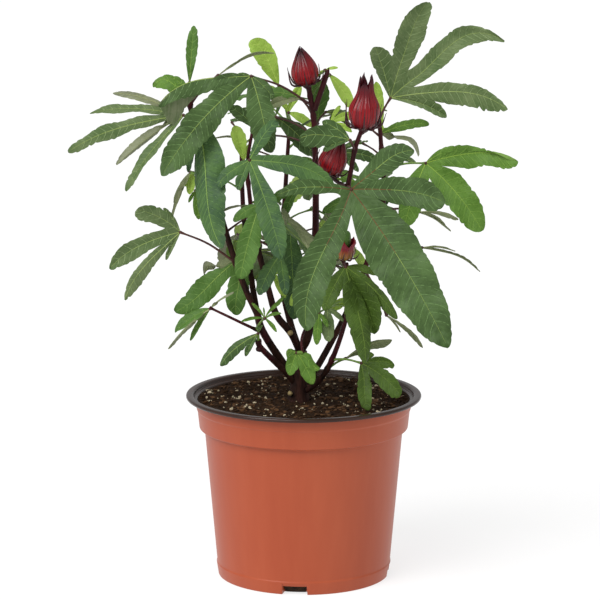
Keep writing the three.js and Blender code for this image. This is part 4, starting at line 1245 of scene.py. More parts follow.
class Growth:
    """All leaves of the plant, limb by limb, grown by the part's own rule."""

    OUTER_LOBE_TURN = 76.0
    OUTER_LOBE_SHARE = 0.52
    OUTER_LOBE_BREADTH = 0.8
    ROLL_RANGE = 40.0
    BEND_RANGE = 0.12
    OUTER_LOBE_LIKENESS = 0.9

    def __init__(self) -> None:
        """Grows the shown leaves, then the far ones, then the small ones between them."""
        self.leaves: dict[str, list[Leaf]] = {name: [] for name in LIMBS}
        self.taken = np.zeros((0, 2, 3))
        self.tints = Stream(411)
        self.show(PLANS)
        for name, fill in FILLS.items():
            self.fill(name, fill, LEAF_GIRTH, FILL_CLEARANCE, FILL_LIMB_CLEARANCE)
        self.show(SHOOTS)
        for name, fill in FINE_FILLS.items():
            self.fill(name, fill, FINE_GIRTH, FINE_CLEARANCE, FINE_LIMB_CLEARANCE)

    def show(self, plans: dict[str, tuple[Plan, ...]]) -> None:
        """Adds leaves that are planned one by one.

        Args:
            plans: their plans, limb by limb.
        """
        for name, entries in plans.items():
            for plan in entries:
                leaf = shown_leaf(name, plan)
                self.leaves[name].append(leaf)
                self.taken = np.concatenate([self.taken, leaf.lines()])

    def fill(self, name: str, fill: Fill, girth: float, clear: float, limb_clear: float) -> None:
        """Grows the leaves of one fill where they find room, lobe by lobe.

        Args:
            name: limb that carries them.
            fill: its heights, count and sizes.
            girth: width of a lobe as a share of its length.
            clear: distance kept from other leaves.
            limb_clear: distance kept from other limbs.
        """
        draw = Stream(int(fill.turn * 977 + fill.count))
        wood = np.concatenate([limb_lines(other) for other in LIMBS if other != name])

        def room(a: np.ndarray, b: np.ndarray) -> bool:
            """Whether a straight line keeps clear of all other leaves and limbs."""
            return clearance(a, b, self.taken) > clear and clearance(a, b, wood) > limb_clear

        for index in range(fill.count):
            leaf = far_leaf(name, fill, index, draw)
            tips = [(lobe, leaf.hub + lobe.heading * lobe.length) for lobe in leaf.lobes]
            leaf.lobes = [lobe for lobe, tip in tips if in_crown(tip) and room(leaf.hub, tip)]
            foot = leaf.root + (leaf.hub - leaf.root) * FILL_STALK_FOOT
            if len(leaf.lobes) < FILL_LEAST_LOBES or not room(foot, leaf.hub):
                continue
            self.taken = np.concatenate([self.taken, leaf.lines()])
            leaf.girth = girth
            self.finish_far(leaf)
            leaf.lobes = [lobe for lobe in leaf.lobes if not hides_opening(leaf.hub, lobe)]
            if len(leaf.lobes) >= FILL_LEAST_LOBES:
                self.leaves[name].append(leaf)

    def finish_far(self, leaf: Leaf) -> None:
        """Gives a far leaf its outer lobes, a roll and a bend for each lobe, and its colours."""
        middle = unit(sum(lobe.heading for lobe in leaf.lobes))
        level = unit(np.cross(middle, leaf.face))
        length = max(lobe.length for lobe in leaf.lobes) * self.OUTER_LOBE_SHARE
        for sign in (-1.0, 1.0):
            angle = math.radians(sign * self.OUTER_LOBE_TURN)
            heading = middle * math.cos(angle) + level * math.sin(angle)
            if all(heading @ lobe.heading < self.OUTER_LOBE_LIKENESS for lobe in leaf.lobes):
                leaf.lobes.append(Lobe(heading, length, self.OUTER_LOBE_BREADTH))
        for lobe in leaf.lobes:
            lobe.roll = math.radians(self.ROLL_RANGE * (self.tints() - 0.5))
            lobe.bend = self.BEND_RANGE * (self.tints() - 0.5)
        sorts = (Tint.DEEP, Tint.MID, Tint.MID, Tint.OLIVE, Tint.FRESH, Tint.GREY, Tint.LIME)
        leaf.tint = sorts[int(self.tints() * len(sorts))]
        leaf.green = self.tints() > 0.5


@dataclass
class Side:
    """One side of a lobe: the way across it, and the neighbour it is webbed to, if any."""

    across: np.ndarray
    gap: float = 0.0
    neighbour: float = 1.0
    web: float = 0.0


@dataclass
class Blade:
    """The curved surface of one lobe.

    A place on it is given by x, the distance from the hub along the lobe, and t, from -1 at one
    margin to 1 at the other. Near the hub a margin lies half-way to the neighbouring lobe, which
    shares it, and further out it follows the lobe's own outline.
    """

    hub: np.ndarray
    face: np.ndarray
    lobe: Lobe
    sides: tuple[Side, Side]
    web: float
    girth: float
    arch: float
    blunt: float
    seed: int

    ROOT_SHARE = 0.12
    OPEN_SLOPE = 0.78
    TOOTH_PITCH = 6.5
    TOOTH_DEPTH = 1.5
    TOOTH_BACK = 0.74
    WAVE_LENGTH = 34.0
    WAVE_SHARE = 0.16
    BEND_PEAK = 6.75
    VEIN_PITCH = 8.0
    VEIN_SLANT = 0.62
    QUILT = 0.55
    GROW_POWER = 1.6
    CLOSE_POWER = 2.4
    TEETH_START = (0.24, 0.42)
    TEETH_END = (0.94, 1.0)

    @property
    def half(self) -> float:
        """Largest half width of the lobe in millimetres."""
        return 0.5 * self.lobe.length * self.girth * self.lobe.breadth

    def outline(self, x: np.ndarray, turn: float) -> np.ndarray:
        """Half width of the free lobe.

        Up to the belly it grows as one minus a power of the share that is left, and beyond it
        closes as one minus a power of the share passed, raised to the bluntness. Round teeth that
        lean to the tip are cut into the outer two thirds of the margin.

        Args:
            x: distances along the lobe.
            turn: shifts the teeth, so that the two margins differ.

        Returns:
            Half widths in millimetres.
        """
        s = np.clip(x / self.lobe.length, 0.0, 1.0)
        belly = self.lobe.belly
        before = np.clip(s / belly, 0.0, 1.0)
        after = np.clip((s - belly) / (1.0 - belly), 0.0, 1.0)
        grow = self.ROOT_SHARE + (1.0 - self.ROOT_SHARE) * (1.0 - (1.0 - before) ** self.GROW_POWER)
        close = (1.0 - after**self.CLOSE_POWER) ** self.blunt
        step = x / self.TOOTH_PITCH + turn + self.seed * 0.37
        phase = step % 1.0
        back = self.TOOTH_BACK
        leaning = np.where(phase < back, phase / back, (1.0 - phase) / (1.0 - back))
        size = np.clip(0.5 + 0.7 * np.sin(np.floor(step) * 2.4 + self.seed), 0.05, 1.2)
        depth = self.TOOTH_DEPTH * size * min(1.0, self.half / 8.0)
        reach = smooth(*self.TEETH_START, s) * (1.0 - smooth(*self.TEETH_END, s))
        tooth = depth * (np.sin(0.5 * math.pi * leaning) - 0.7) * reach
        return np.maximum(self.half * grow * close + tooth * np.minimum(1.0, 3.0 * close), 0.0)

    def half_width(self, x: np.ndarray, side: Side, turn: float) -> np.ndarray:
        """Half width on one side, with the web to the neighbour.

        Args:
            x: distances along the lobe.
            side: which side.
            turn: shifts the teeth.

        Returns:
            Half widths in millimetres.
        """
        own = self.outline(x, turn)
        if not side.gap:
            return np.minimum(own, self.OPEN_SLOPE * x + 0.3)
        slope = math.tan(side.gap / 2.0)
        at_web = self.outline(np.array(side.web), turn)
        fade = np.exp(-np.maximum(x - side.web, 0.0) / (0.3 * side.web))
        return np.where(x <= side.web, slope * x, own + (slope * side.web - at_web) * fade)

    def place(self, x: np.ndarray, t: np.ndarray) -> np.ndarray:
        """Places on the blade.

        A point heads from the hub between the directions of the lobe and of its side, at its true
        distance. It is lifted by the arch of the leaf, by the fold along the midrib and by the waves
        of the margin, turned about the midrib by the roll, and moved sideways by the bend.

        Args:
            x: distances along the lobe.
            t: shares of the half width, of the same shape.

        Returns:
            Places in millimetres, with one more axis.
        """
        heading = self.lobe.heading
        width = np.where(
            t < 0, self.half_width(x, self.sides[0], 0.0), self.half_width(x, self.sides[1], 0.5)
        )
        y = np.abs(t) * width
        far = np.hypot(x, y)
        delta = np.arctan2(y, x)
        across = np.where((t < 0)[..., None], self.sides[0].across, self.sides[1].across)
        gap = np.where(t < 0, self.sides[0].gap, self.sides[1].gap)
        other = np.where(t < 0, self.sides[0].neighbour, self.sides[1].neighbour)
        shared = np.where(gap > 0, 0.5 * smooth(0.0, 1.0, 2.0 * delta / np.maximum(gap, 0.1)), 0.0)
        way = np.cos(delta)[..., None] * heading + np.sin(delta)[..., None] * across
        inverse = (1.0 - shared) / self.lobe.length + shared / other
        rise = 4.0 * self.arch * far * (1.0 - far * inverse)
        lift = UP - way * way[..., 2:]
        upward = unit(self.face - way * (way @ self.face)[..., None])
        free = smooth(self.web, self.web + 0.3 * self.lobe.length, x)
        fold = LEAF_FOLD * width * (1.0 - np.cos(math.pi * np.clip(np.abs(t), 0.0, 1.0))) / 2.0
        phase = 2.0 * math.pi * x / self.WAVE_LENGTH + self.seed + np.where(t < 0, 0.0, 1.9)
        ripple = self.WAVE_SHARE * self.half * t**2 * np.sin(phase) * free
        flat = self.hub + way * far[..., None] + lift * rise[..., None]
        point = flat + upward * (fold + ripple + self.quilt(x, t, width))[..., None]
        if self.lobe.roll:
            point = self.rolled(point, x, free)
        return point + self.bow(x)[..., None] * unit(np.cross(heading, self.face))

    def quilt(self, x: np.ndarray, t: np.ndarray, width: np.ndarray) -> np.ndarray:
        """Height by which the flesh swells between the midrib, the side veins and the margin.

        It is the absolute sine of pi times the number of side veins passed, where the veins
        run out and forward, and it fades at the midrib and the margin.
        """
        out = np.abs(t)
        first, pitch = self.vein_rows()
        passed = (x - self.VEIN_SLANT * width * (out + 0.5 * out**2) - first) / pitch
        fade = smooth(0.0, 0.3, out) * (1.0 - smooth(0.7, 1.0, out)) * smooth(0.0, 12.0, x)
        return self.QUILT * np.abs(np.sin(math.pi * passed)) * fade

    def vein_rows(self) -> tuple[float, float]:
        """Distance of the first side vein from the hub, and the distance between two."""
        length = self.lobe.length
        return 0.14 * length, 0.7 * length / (self.vein_count() - 1)

    def vein_count(self) -> int:
        """Number of side veins on each side."""
        return int(np.clip(self.lobe.length / self.VEIN_PITCH, 3, 14))

    def bow(self, x: np.ndarray) -> np.ndarray:
        """Sideways shift of the lobe, clockwise as its upper side is seen.

        With u the share of the free length that is passed, it is the bend times the length
        times u squared times one minus u, scaled so that its peak is the bend's own share.
        """
        length = self.lobe.length
        u = np.clip((x - self.web) / (length - self.web), 0.0, 1.0)
        return self.lobe.bend * length * self.BEND_PEAK * u**2 * (1.0 - u)

    def rolled(self, point: np.ndarray, x: np.ndarray, free: np.ndarray) -> np.ndarray:
        """Turns places about the midrib by the roll, more towards the tip (Rodrigues' rule)."""
        axis = self.lobe.heading
        rise = 4.0 * self.arch * x * (1.0 - x / self.lobe.length)
        spine = self.hub + axis * x[..., None] + (UP - axis * axis[2]) * rise[..., None]
        offset = point - spine
        angle = (self.lobe.roll * free)[..., None]
        along = (offset @ axis)[..., None] * axis
        turned = offset * np.cos(angle) + np.cross(axis, offset) * np.sin(angle)
        return spine + turned + along * (1.0 - np.cos(angle))


class Foliage:
    """Leaves with their blades, veins and stalks, joined by colour."""

    # Numbers of the materials of a piece
    TOP, UNDER, RIB, VEIN, RED_RIB = range(5)

    THICKNESS = 0.5
    ROOT = 1.0
    WEB_LIMIT = 0.8
    WEB_GAP = math.radians(88.0)
    ROW_PITCH = 1.5
    FAR_ROW_PITCH = 2.8
    KNOB_RADIUS = 1.5
    STALK_SHARE = 0.95
    FAR_STALK_SHARE = 0.8
    RIB_SINK = 0.12
    RIB_RISE = 0.55
    RIB_END = 0.97
    RED_END = 0.42
    MIDRIB_TIP = 0.18
    MIDRIB_GAIN = 0.42
    UNDER_RIB_SHARE = 1.3
    VEIN_FOOT = 0.3
    VEIN_LOSS = 0.15
    # Height of the side veins over the blade, so that none dips between its facets
    VEIN_LIFT = 0.2

    def __init__(self, growth: Growth) -> None:
        """Keeps the leaves to be made.

        Args:
            growth: all leaves, limb by limb.
        """
        self.growth = growth
        self.buffers: dict[Tint, Buffer] = {tint: Buffer() for tint in Tint}
        self.stalks = Buffer()
        self.seed = 0

    def blades(self, leaf: Leaf) -> list[Blade]:
        """The surfaces of a leaf's lobes, each webbed to neighbours that are near enough.

        Args:
            leaf: the leaf.

        Returns:
            One blade for each lobe, in order round the leaf.
        """
        spokes = unit(sum(lobe.heading for lobe in leaf.lobes))
        level = unit(np.cross(spokes, leaf.face))
        order = sorted(
            leaf.lobes,
            key=lambda lobe: math.atan2(lobe.heading @ level, lobe.heading @ spokes),
        )
        usual = leaf.web * np.mean([lobe.length for lobe in order])
        blades = []
        for place, lobe in enumerate(order):
            outward = unit(np.cross(lobe.heading, leaf.face))
            sides = []
            for step in (-1, 1):
                near = place + step
                side = Side(outward * step)
                if 0 <= near < len(order):
                    other = order[near]
                    gap = math.acos(float(np.clip(lobe.heading @ other.heading, -1.0, 1.0)))
                    if gap < self.WEB_GAP:
                        toward = other.heading - lobe.heading * (lobe.heading @ other.heading)
                        shorter = min(lobe.length, other.length)
                        web = usual * 0.5 * (lobe.joined + other.joined)
                        web = min(web, self.WEB_LIMIT * shorter)
                        side = Side(unit(toward), gap, other.length, web)
                sides.append(side)
            web = max(sides[0].web, sides[1].web, 0.1 * lobe.length)
            self.seed += 1
            blades.append(
                Blade(
                    leaf.hub, leaf.face, lobe, (sides[0], sides[1]), web, leaf.girth,
                    leaf.arch, leaf.blunt, self.seed,
                )
            )
        return blades

    def stations(self, blade: Blade, pitch: float) -> np.ndarray:
        """Distances along a lobe at which its grid has a row, closer together at the tip."""
        inner = max(3, math.ceil(blade.web / 3.0))
        outer = max(6, math.ceil((blade.lobe.length - blade.web) / pitch))
        near = np.linspace(self.ROOT, blade.web, inner, endpoint=False)
        share = np.linspace(0.0, 1.0, outer)
        far = blade.web + (blade.lobe.length - blade.web) * (1.0 - (1.0 - share) ** 1.4)
        notches = [side.web for side in blade.sides if self.ROOT < side.web < blade.web - 0.2]
        return np.sort(np.concatenate([near, notches, far[:-1], [blade.lobe.length * 0.9985]]))

    def add_blade(self, buffer: Buffer, blade: Blade, pitch: float, columns: int) -> None:
        """Adds the closed, thin body of a lobe.

        The upper side is a grid of places over x and t. The underside is that grid pushed in by the
        thickness, which fades to nothing at the margin that both share.

        Args:
            buffer: gets the body.
            blade: the lobe's surface.
            pitch: spacing of the rows in millimetres.
            columns: number of faces across.
        """
        x, t = np.meshgrid(
            self.stations(blade, pitch), np.linspace(-1.0, 1.0, columns + 1), indexing="ij"
        )
        top = blade.place(x, t)
        normal = unit(np.cross(np.gradient(top, axis=1), np.gradient(top, axis=0)))
        depth = self.THICKNESS * (1.0 - t**2) * np.minimum(1.0, x / 6.0)
        uv = np.stack([0.5 + 0.5 * t, x / blade.lobe.length], -1)
        buffer.shell(top, top - normal * depth[..., None], (self.TOP, self.UNDER), uv)

    def add_ribs(
        self, buffer: Buffer, paths: np.ndarray, ups: np.ndarray, radii: np.ndarray, slot: int
    ) -> None:
        """Adds thin ridges that stand on paths over the blade.

        A ridge has a section of three corners, left of its path, above it and right, and closed ends.

        Args:
            buffer: gets the ridges.
            paths: n by k by 3 places.
            ups: n by k by 3 directions away from the blade.
            radii: k half widths.
            slot: number of the material.
        """
        heading = unit(np.gradient(paths, axis=1))
        side = unit(np.cross(heading, ups))
        reach = radii[None, :, None]
        low = paths - ups * self.RIB_SINK
        crest = paths + ups * reach * self.RIB_RISE
        corners = np.stack([low + side * reach, crest, low - side * reach], 2)
        count, steps = paths.shape[:2]
        index = np.arange(count * steps * 3).reshape(count, steps, 3)
        after = np.roll(index, -1, axis=2)
        skin = np.stack([index[:, :-1], index[:, 1:], after[:, 1:], after[:, :-1]], -1)
        caps = np.concatenate([index[:, 0], index[:, -1, ::-1]])
        buffer.add(corners, (skin.reshape(-1, 4), slot), (caps, slot))

    def add_veins(self, buffer: Buffer, blade: Blade, red: bool, far: bool) -> None:
        """Adds the midrib, on both sides of the blade, and the side veins of a lobe.

        The midrib follows t = 0. A side vein leaves it at x and runs out to nine tenths of the half
        width while x grows by four fifths of the half width, faster towards the margin.

        Args:
            buffer: gets the veins.
            blade: the lobe's surface.
            red: whether the inner part of the midrib is red.
            far: whether the leaf is one of the far side, with fewer veins.
        """
        length = blade.lobe.length

        def ridge(x: np.ndarray, t: np.ndarray) -> tuple[np.ndarray, np.ndarray]:
            """Places on the blade, and the directions at right angles to it."""
            here = blade.place(x, t)
            ahead = blade.place(x + 0.4, t)
            beside = blade.place(x, t + 0.06)
            return here, unit(np.cross(beside - here, ahead - here))

        middle, last = self.RED_END * length, self.RIB_END * length
        spans = [(0.5, last, self.RIB)]
        if red:
            spans = [(0.5, middle, self.RED_RIB), (middle, last, self.RIB)]
        for start, end, slot in spans:
            x = np.linspace(start, end, max(4, int((end - start) / (9 if far else 5))))[None]
            path, ups = ridge(x, np.zeros_like(x))
            radii = self.MIDRIB_TIP + self.MIDRIB_GAIN * (1.0 - x[0] / length) * min(1.0, length / 60.0)
            self.add_ribs(buffer, path, ups, radii, slot)
            below = path - ups * self.THICKNESS
            self.add_ribs(buffer, below, -ups, self.UNDER_RIB_SHARE * radii, slot)
        first, pitch = blade.vein_rows()
        starts = first + pitch * np.arange(blade.vein_count())
        run = np.linspace(0.0, 0.9, 4 if far else 6)
        for sign in (-1.0, 1.0):
            along = run + 0.5 * run**2
            width = blade.outline(starts, 0.0)[:, None]
            x = np.minimum(starts[:, None] + blade.VEIN_SLANT * width * along, last)
            path, ups = ridge(x, np.broadcast_to(sign * run, x.shape))
            radii = self.VEIN_FOOT - self.VEIN_LOSS * run
            self.add_ribs(buffer, path + ups * self.VEIN_LIFT, ups, radii, self.VEIN)

    def add_knob(self, leaf: Leaf) -> None:
        """Adds the swollen joint between a leaf's stalk and its lobes, a flattened ball."""
        radius = self.KNOB_RADIUS * (self.FAR_STALK_SHARE if leaf.far else 1.0)
        share = np.linspace(0.08, 0.92, 6) * math.pi
        route = Route([leaf.hub - leaf.face * radius, leaf.hub + leaf.face * radius])
        self.stalks.rod(route, radius * (1.0 - np.cos(share)), radius * np.sin(share), 8)

    def add_stalk(self, leaf: Leaf) -> None:
        """Adds a leaf stalk.

        It arches from the stem's middle to the hub and is swollen at both ends by a bell curve.

        Args:
            leaf: the leaf that it carries.
        """
        span = float(np.linalg.norm(leaf.hub - leaf.root))
        if span <= HUB_RADIUS:
            return
        middle = (leaf.root + leaf.hub) / 2.0 + UP * span * STALK_ARCH
        route = Route([leaf.root, middle, leaf.hub])
        distances, share = route.marks(max(5, int(span / 4.0)))
        radius = STALK_RADIUS + (STALK_END_RADIUS - STALK_RADIUS) * share
        radius = radius * (self.FAR_STALK_SHARE if leaf.far else self.STALK_SHARE)
        radius = radius + 0.5 * np.exp(-((distances / 4.0) ** 2))
        radius = radius + 0.55 * np.exp(-(((route.length - distances) / 3.0) ** 2))
        self.stalks.rod(route, distances, radius, 7, 1 if leaf.green else 0)

    def build(self) -> None:
        """Makes every leaf, then one piece for each colour and one for the stalks."""
        for leaves in self.growth.leaves.values():
            for leaf in leaves:
                pitch, columns = (self.FAR_ROW_PITCH, 6) if leaf.far else (self.ROW_PITCH, 8)
                for blade in self.blades(leaf):
                    buffer = self.buffers[blade.lobe.tint or leaf.tint]
                    self.add_blade(buffer, blade, pitch, columns)
                    self.add_veins(buffer, blade, leaf.red_rib, leaf.far)
                self.add_stalk(leaf)
                self.add_knob(leaf)
        masses = [limb.foliage for limb in LIMBS.values() if limb.foliage]
        for tint, buffer in self.buffers.items():
            materials = [*tint.value.build(), *finishes(Bare.RED_RIB)]
            report(buffer.build(f"leaves_{tint.value.name}", materials), "foliage", masses)
        report(self.stalks.build("leaf_stalks", finishes(Bare.STALK, Bare.GREEN_STALK)), "foliage")


@dataclass(frozen=True)
class Spur:
    """A short dead or cut twig, or a knot where one was cut: foot, tip and radius."""

    foot: tuple[float, float, float]
    tip: tuple[float, float, float]
    radius: float
    cut: bool


@dataclass
class Wood:
    """Trunk, boughs and stems with the relief of their bark, and the cut ends on them."""

    growth: Growth
    sides: int = 18
    pitch: float = 1.6
    flare_height: float = 9.0
    flare_width: float = 0.42
    flare_ribs: int = 5
    flare_rib_depth: float = 0.45
    bark_relief: float = 0.022
    joint_height: float = 0.55
    joint_reach: float = 2.6
    brown_share: float = 0.62
    young_brown_share: float = 0.3
    spurs: tuple[Spur, ...] = (
        Spur((9, -26, 410), (21.2, -27, 446), 2.4, False),
        Spur((-12, -20, 218), (-11.3, -27, 218.5), 2.3, True),
        Spur((-12, -12, 163), (-11.5, -22, 164), 1.9, True),
        Spur((-39, -33, 206), (-36.4, -37, 205.8), 2.4, False),
        Spur((-95, -39, 420), (-97, -42, 430), 1.9, False),
    )

    def radii(self, name: str, distances: np.ndarray) -> np.ndarray:
        """Radii round a limb, with its taper, its bark and its joints.

        The taper is straight. Ridges of two to seven round the stem drift slowly along it, each
        leaf's joint is a low bell curve, and the trunk widens to blunt ribs at its foot.

        Args:
            name: name of the limb.
            distances: n distances along it.

        Returns:
            n by sides radii in millimetres.
        """
        limb, route = LIMBS[name], ROUTES[name]
        thick, thin = limb.radii
        taper = (thick + (thin - thick) * distances / route.length)[:, None]
        angles = turns(self.sides)[None, :]
        rng = np.random.default_rng(len(name) * 31 + len(limb.route))
        bark = np.zeros((len(distances), self.sides))
        for ridges in (2, 3, 5, 7):
            phase = rng.uniform(0.0, 2.0 * math.pi, 2)
            drift = distances[:, None] / rng.uniform(9.0, 26.0)
            bark += np.sin(ridges * angles + phase[0] + drift) * np.sin(drift * 1.7 + phase[1])
        radii = taper * (1.0 + self.bark_relief * bark)
        for leaf in self.growth.leaves[name]:
            if leaf.far:
                continue
            nearest = int(np.argmin(np.linalg.norm(route.points - leaf.root, axis=1)))
            place = route.distances[nearest]
            joint = np.exp(-(((distances - place) / self.joint_reach) ** 2))
            radii = radii + self.joint_height * joint[:, None]
        if not limb.carrier:
            fade = np.exp(-distances / self.flare_height)[:, None]
            ribs = 1.0 + self.flare_rib_depth * np.cos(self.flare_ribs * angles)
            radii = radii * (1.0 + self.flare_width * fade * ribs)
        return radii

    def build(self) -> None:
        """Makes the wood as one piece and the cut ends as another."""
        wood, cuts = Buffer(), Buffer()
        for name, limb in LIMBS.items():
            route = ROUTES[name]
            distances, _ = route.marks(max(6, int(route.length / self.pitch)))
            rings = route.rings(distances, self.radii(name, distances))
            brown = int(len(rings) * (self.young_brown_share if limb.red else self.brown_share))
            wood.tube(rings[: brown + 1], 0)
            wood.tube(rings[brown:], 1)
        for spur in self.spurs:
            middle = (np.array(spur.foot) + np.array(spur.tip)) / 2.0
            route = Route([spur.foot, middle, spur.tip])
            distances, share = route.marks(10)
            shape = 1.0 - 0.06 * share if not spur.cut else 1.0 - 0.12 * np.cos(5.0 * share)
            radii = spur.radius * shape * np.sqrt(np.clip(1.0 - share**12, 0.02, 1.0))
            buffer, slot = (cuts, 0) if spur.cut else (wood, 1)
            buffer.rod(route, distances, radii, 12, slot)
        boughs = [limb.bough for limb in LIMBS.values() if limb.bough]
        report(wood.build("bark", finishes(Bare.BARK, Bare.STEM)), "bark", boughs)
        report(cuts.build("cut_knots", finishes(Bare.CUT)), "bark")


@dataclass(frozen=True)
class Fruit:
    """A calyx on its stalk.

    Attributes:
        limb: limb that carries it.
        at: height on the limb where its stalk leaves.
        foot: middle of its foot.
        tip: its tip.
        girth: its largest width.
        open: how far its tips stand apart, from 0 for closed over 1 for upright to more.
        ripe: whether it is dark red all over.
    """

    limb: str
    at: float
    foot: tuple[float, float, float]
    tip: tuple[float, float, float]
    girth: float
    open: float
    ripe: bool = True

    def frame(self) -> tuple[np.ndarray, float, np.ndarray, np.ndarray, np.ndarray]:
        """Its foot, length and axis, and two directions across it at right angles."""
        foot, tip = np.array(self.foot, float), np.array(self.tip, float)
        axis = unit(tip - foot)
        side = unit(np.cross(axis, RIGHT))
        return foot, float(np.linalg.norm(tip - foot)), axis, side, np.cross(axis, side)


FRUITS = (
    Fruit("centre", 424, (3.1, -28, 430.5), (-3.6, -30, 464.5), 21.5, 0.0),
    Fruit("front_right", 398, (48.7, -87, 401), (51.5, -90, 448.7), 24, 0.85),
    Fruit("front_right", 350, (19.5, -74, 362.5), (31.5, -80, 396), 21.5, 0.05),
    Fruit("right_low", 282, (32, -68, 290), (36, -72, 310), 17, 1.5, ripe=False),
)


# Height, place and width of the ribs across half a sepal, from its middle to its margin
RIBS = ((1.0, 0.0, 0.13), (0.9, 0.96, 0.14), (0.5, 0.52, 0.11))


@dataclass
class Fruits:
    """Ridged calyces of five fleshy sepals, with the thin bracts under them."""

    sepals: int = 5
    rows: int = 34
    columns: int = 18
    flesh: float = 1.1
    bracts: int = 9
    bract_radius: float = 1.15
    stalk_radius: float = 1.7
    cup_share: float = 0.2
    capsule_share: float = 0.24

    def sepal(self, fruit: Fruit, number: int) -> tuple[np.ndarray, np.ndarray, np.ndarray]:
        """Outer and inner surface of one sepal.

        The outer radius follows the sine of pi times the share of the length raised to 0.62, so it
        is widest low down. A sepal spans a fifth of the turn for most of its length and then
        narrows, an open fruit's one to a point that keeps away from the axis. Its ribs have the
        section of a bell curve.

        Args:
            fruit: the fruit.
            number: which sepal.

        Returns:
            Outer places, inner places and UVs, each a grid of rows by columns.
        """
        foot, length, axis, side, other = fruit.frame()
        length = length * (1.0 - 0.05 * (number % 3))
        s, t = np.meshgrid(
            np.linspace(0.012, 1.0, self.rows), np.linspace(-1.0, 1.0, self.columns), indexing="ij"
        )
        half = fruit.girth / 2.0
        bulge = np.sin(math.pi * np.clip(s, 0.0, 0.999) ** 0.62) ** 0.9
        neck = min(fruit.open, 1.0) * smooth(0.4, 0.8, s)
        flare = max(fruit.open - 1.0, 0.0)
        radius = half * (bulge * (1.0 - neck) + (0.47 + flare) * neck + 0.02)
        taper = smooth(0.76 - 0.3 * flare, 1.0, s) ** 1.3 * min(1.0, 0.3 + fruit.open)
        span = math.pi / self.sepals * (1.0 - taper)
        angle = 2.0 * math.pi * number / self.sepals + 0.4 + t * (span + 0.02)
        ribs = sum(
            height * np.exp(-(((np.abs(t) - place) / width) ** 2)) for height, place, width in RIBS
        )
        rise = ribs * half / 11.0 * np.sin(math.pi * np.clip(s, 0.0, 1.0)) ** 0.5
        around = side * np.cos(angle)[..., None] + other * np.sin(angle)[..., None]
        spine = foot + axis * (s * length)[..., None]
        outer = spine + around * (radius + rise)[..., None]
        depth = np.minimum(self.flesh, 0.45 * radius) * np.sqrt(np.clip(1.0 - t**2, 0.0, 1.0))
        inner = outer - around * depth[..., None]
        return outer, inner, np.stack([(t + 1.0) / 2.0 + number, s], -1)

    def add_bracts(self, buffer: Buffer, fruit: Fruit) -> None:
        """Adds the ring of bracts: each runs outwards from the foot and then curves up."""
        foot, length, axis, side, other = fruit.frame()
        for number in range(self.bracts):
            angle = 2.0 * math.pi * (number + 0.5) / self.bracts
            out = side * math.cos(angle) + other * math.sin(angle)
            reach = 0.66 + 0.07 * math.sin(number * 2.3)
            start = foot + axis * 2.0 + out * 1.0
            bend = start + out * fruit.girth * 0.54 + axis * length * 0.05
            end = start + out * fruit.girth * reach + axis * length * (0.3 + 0.1 * (number % 3))
            route = Route([start, bend, end])
            distances, share = route.marks(12)
            radius = self.bract_radius * (1.0 - 0.82 * share**1.3)
            buffer.rod(route, distances, radius, 8)

    def add_receptacle(self, buffer: Buffer, fruit: Fruit) -> None:
        """Adds the stalk and the cup under a fruit, from the limb to inside the foot."""
        foot, _, axis, _, _ = fruit.frame()
        limb = ROUTES[fruit.limb]
        root = limb.at(limb.distance_at_height(fruit.at))
        route = Route([root, (root + foot) / 2.0 - axis * 1.0, foot + axis * 2.0, foot + axis * 4.0])
        distances, _ = route.marks(12)
        cup = smooth(route.length - 7.0, route.length - 3.0, distances)
        widening = fruit.girth * self.cup_share - self.stalk_radius
        buffer.rod(route, distances, self.stalk_radius + widening * cup, 12)

    def add_capsule(self, buffer: Buffer, fruit: Fruit) -> None:
        """Adds the seed capsule in an open fruit: an egg with five shallow furrows."""
        foot, length, axis, _, _ = fruit.frame()
        start = foot + axis * length * 0.1
        route = Route([start, start + axis * length * 0.57, start + axis * length * 1.14])
        distances, share = route.marks(18)
        egg = np.sqrt(np.clip(1.0 - (2.0 * share - 1.0) ** 2, 0.004, 1.0))[:, None]
        furrows = 1.0 + 0.05 * np.cos(5.0 * turns(30))[None, :]
        radii = fruit.girth * self.capsule_share * egg * furrows
        buffer.tube(route.rings(distances, radii), 1)

    def build(self) -> None:
        """Makes the calyces as one piece and their bracts, cups and capsule as another."""
        flesh, bracts = Buffer(), Buffer()
        for fruit in FRUITS:
            slot = 0 if fruit.ripe else 1
            for number in range(self.sepals):
                outer, inner, uv = self.sepal(fruit, number)
                flesh.shell(outer, inner, (slot, slot), uv)
            self.add_bracts(bracts, fruit)
            self.add_receptacle(bracts, fruit)
            if not fruit.ripe:
                self.add_capsule(bracts, fruit)
        report(flesh.build("calyces", finishes(Bare.CALYX, Bare.YOUNG_CALYX)), "foliage")
        report(bracts.build("bracts", finishes(Bare.BRACT, Bare.CAPSULE)), "foliage")


def inset_wall(inset: float, top: float) -> list[tuple[float, float]]:
    """Radii and heights of the wall from the collar's foot to a top, moved inwards."""
    return [
        (WALL_TOP_RADIUS - inset, COLLAR_FOOT_HEIGHT),
        (COLLAR_LOW_RADIUS - inset, COLLAR_EDGE_HEIGHT),
        (COLLAR_TOP_RADIUS - inset, top),
    ]


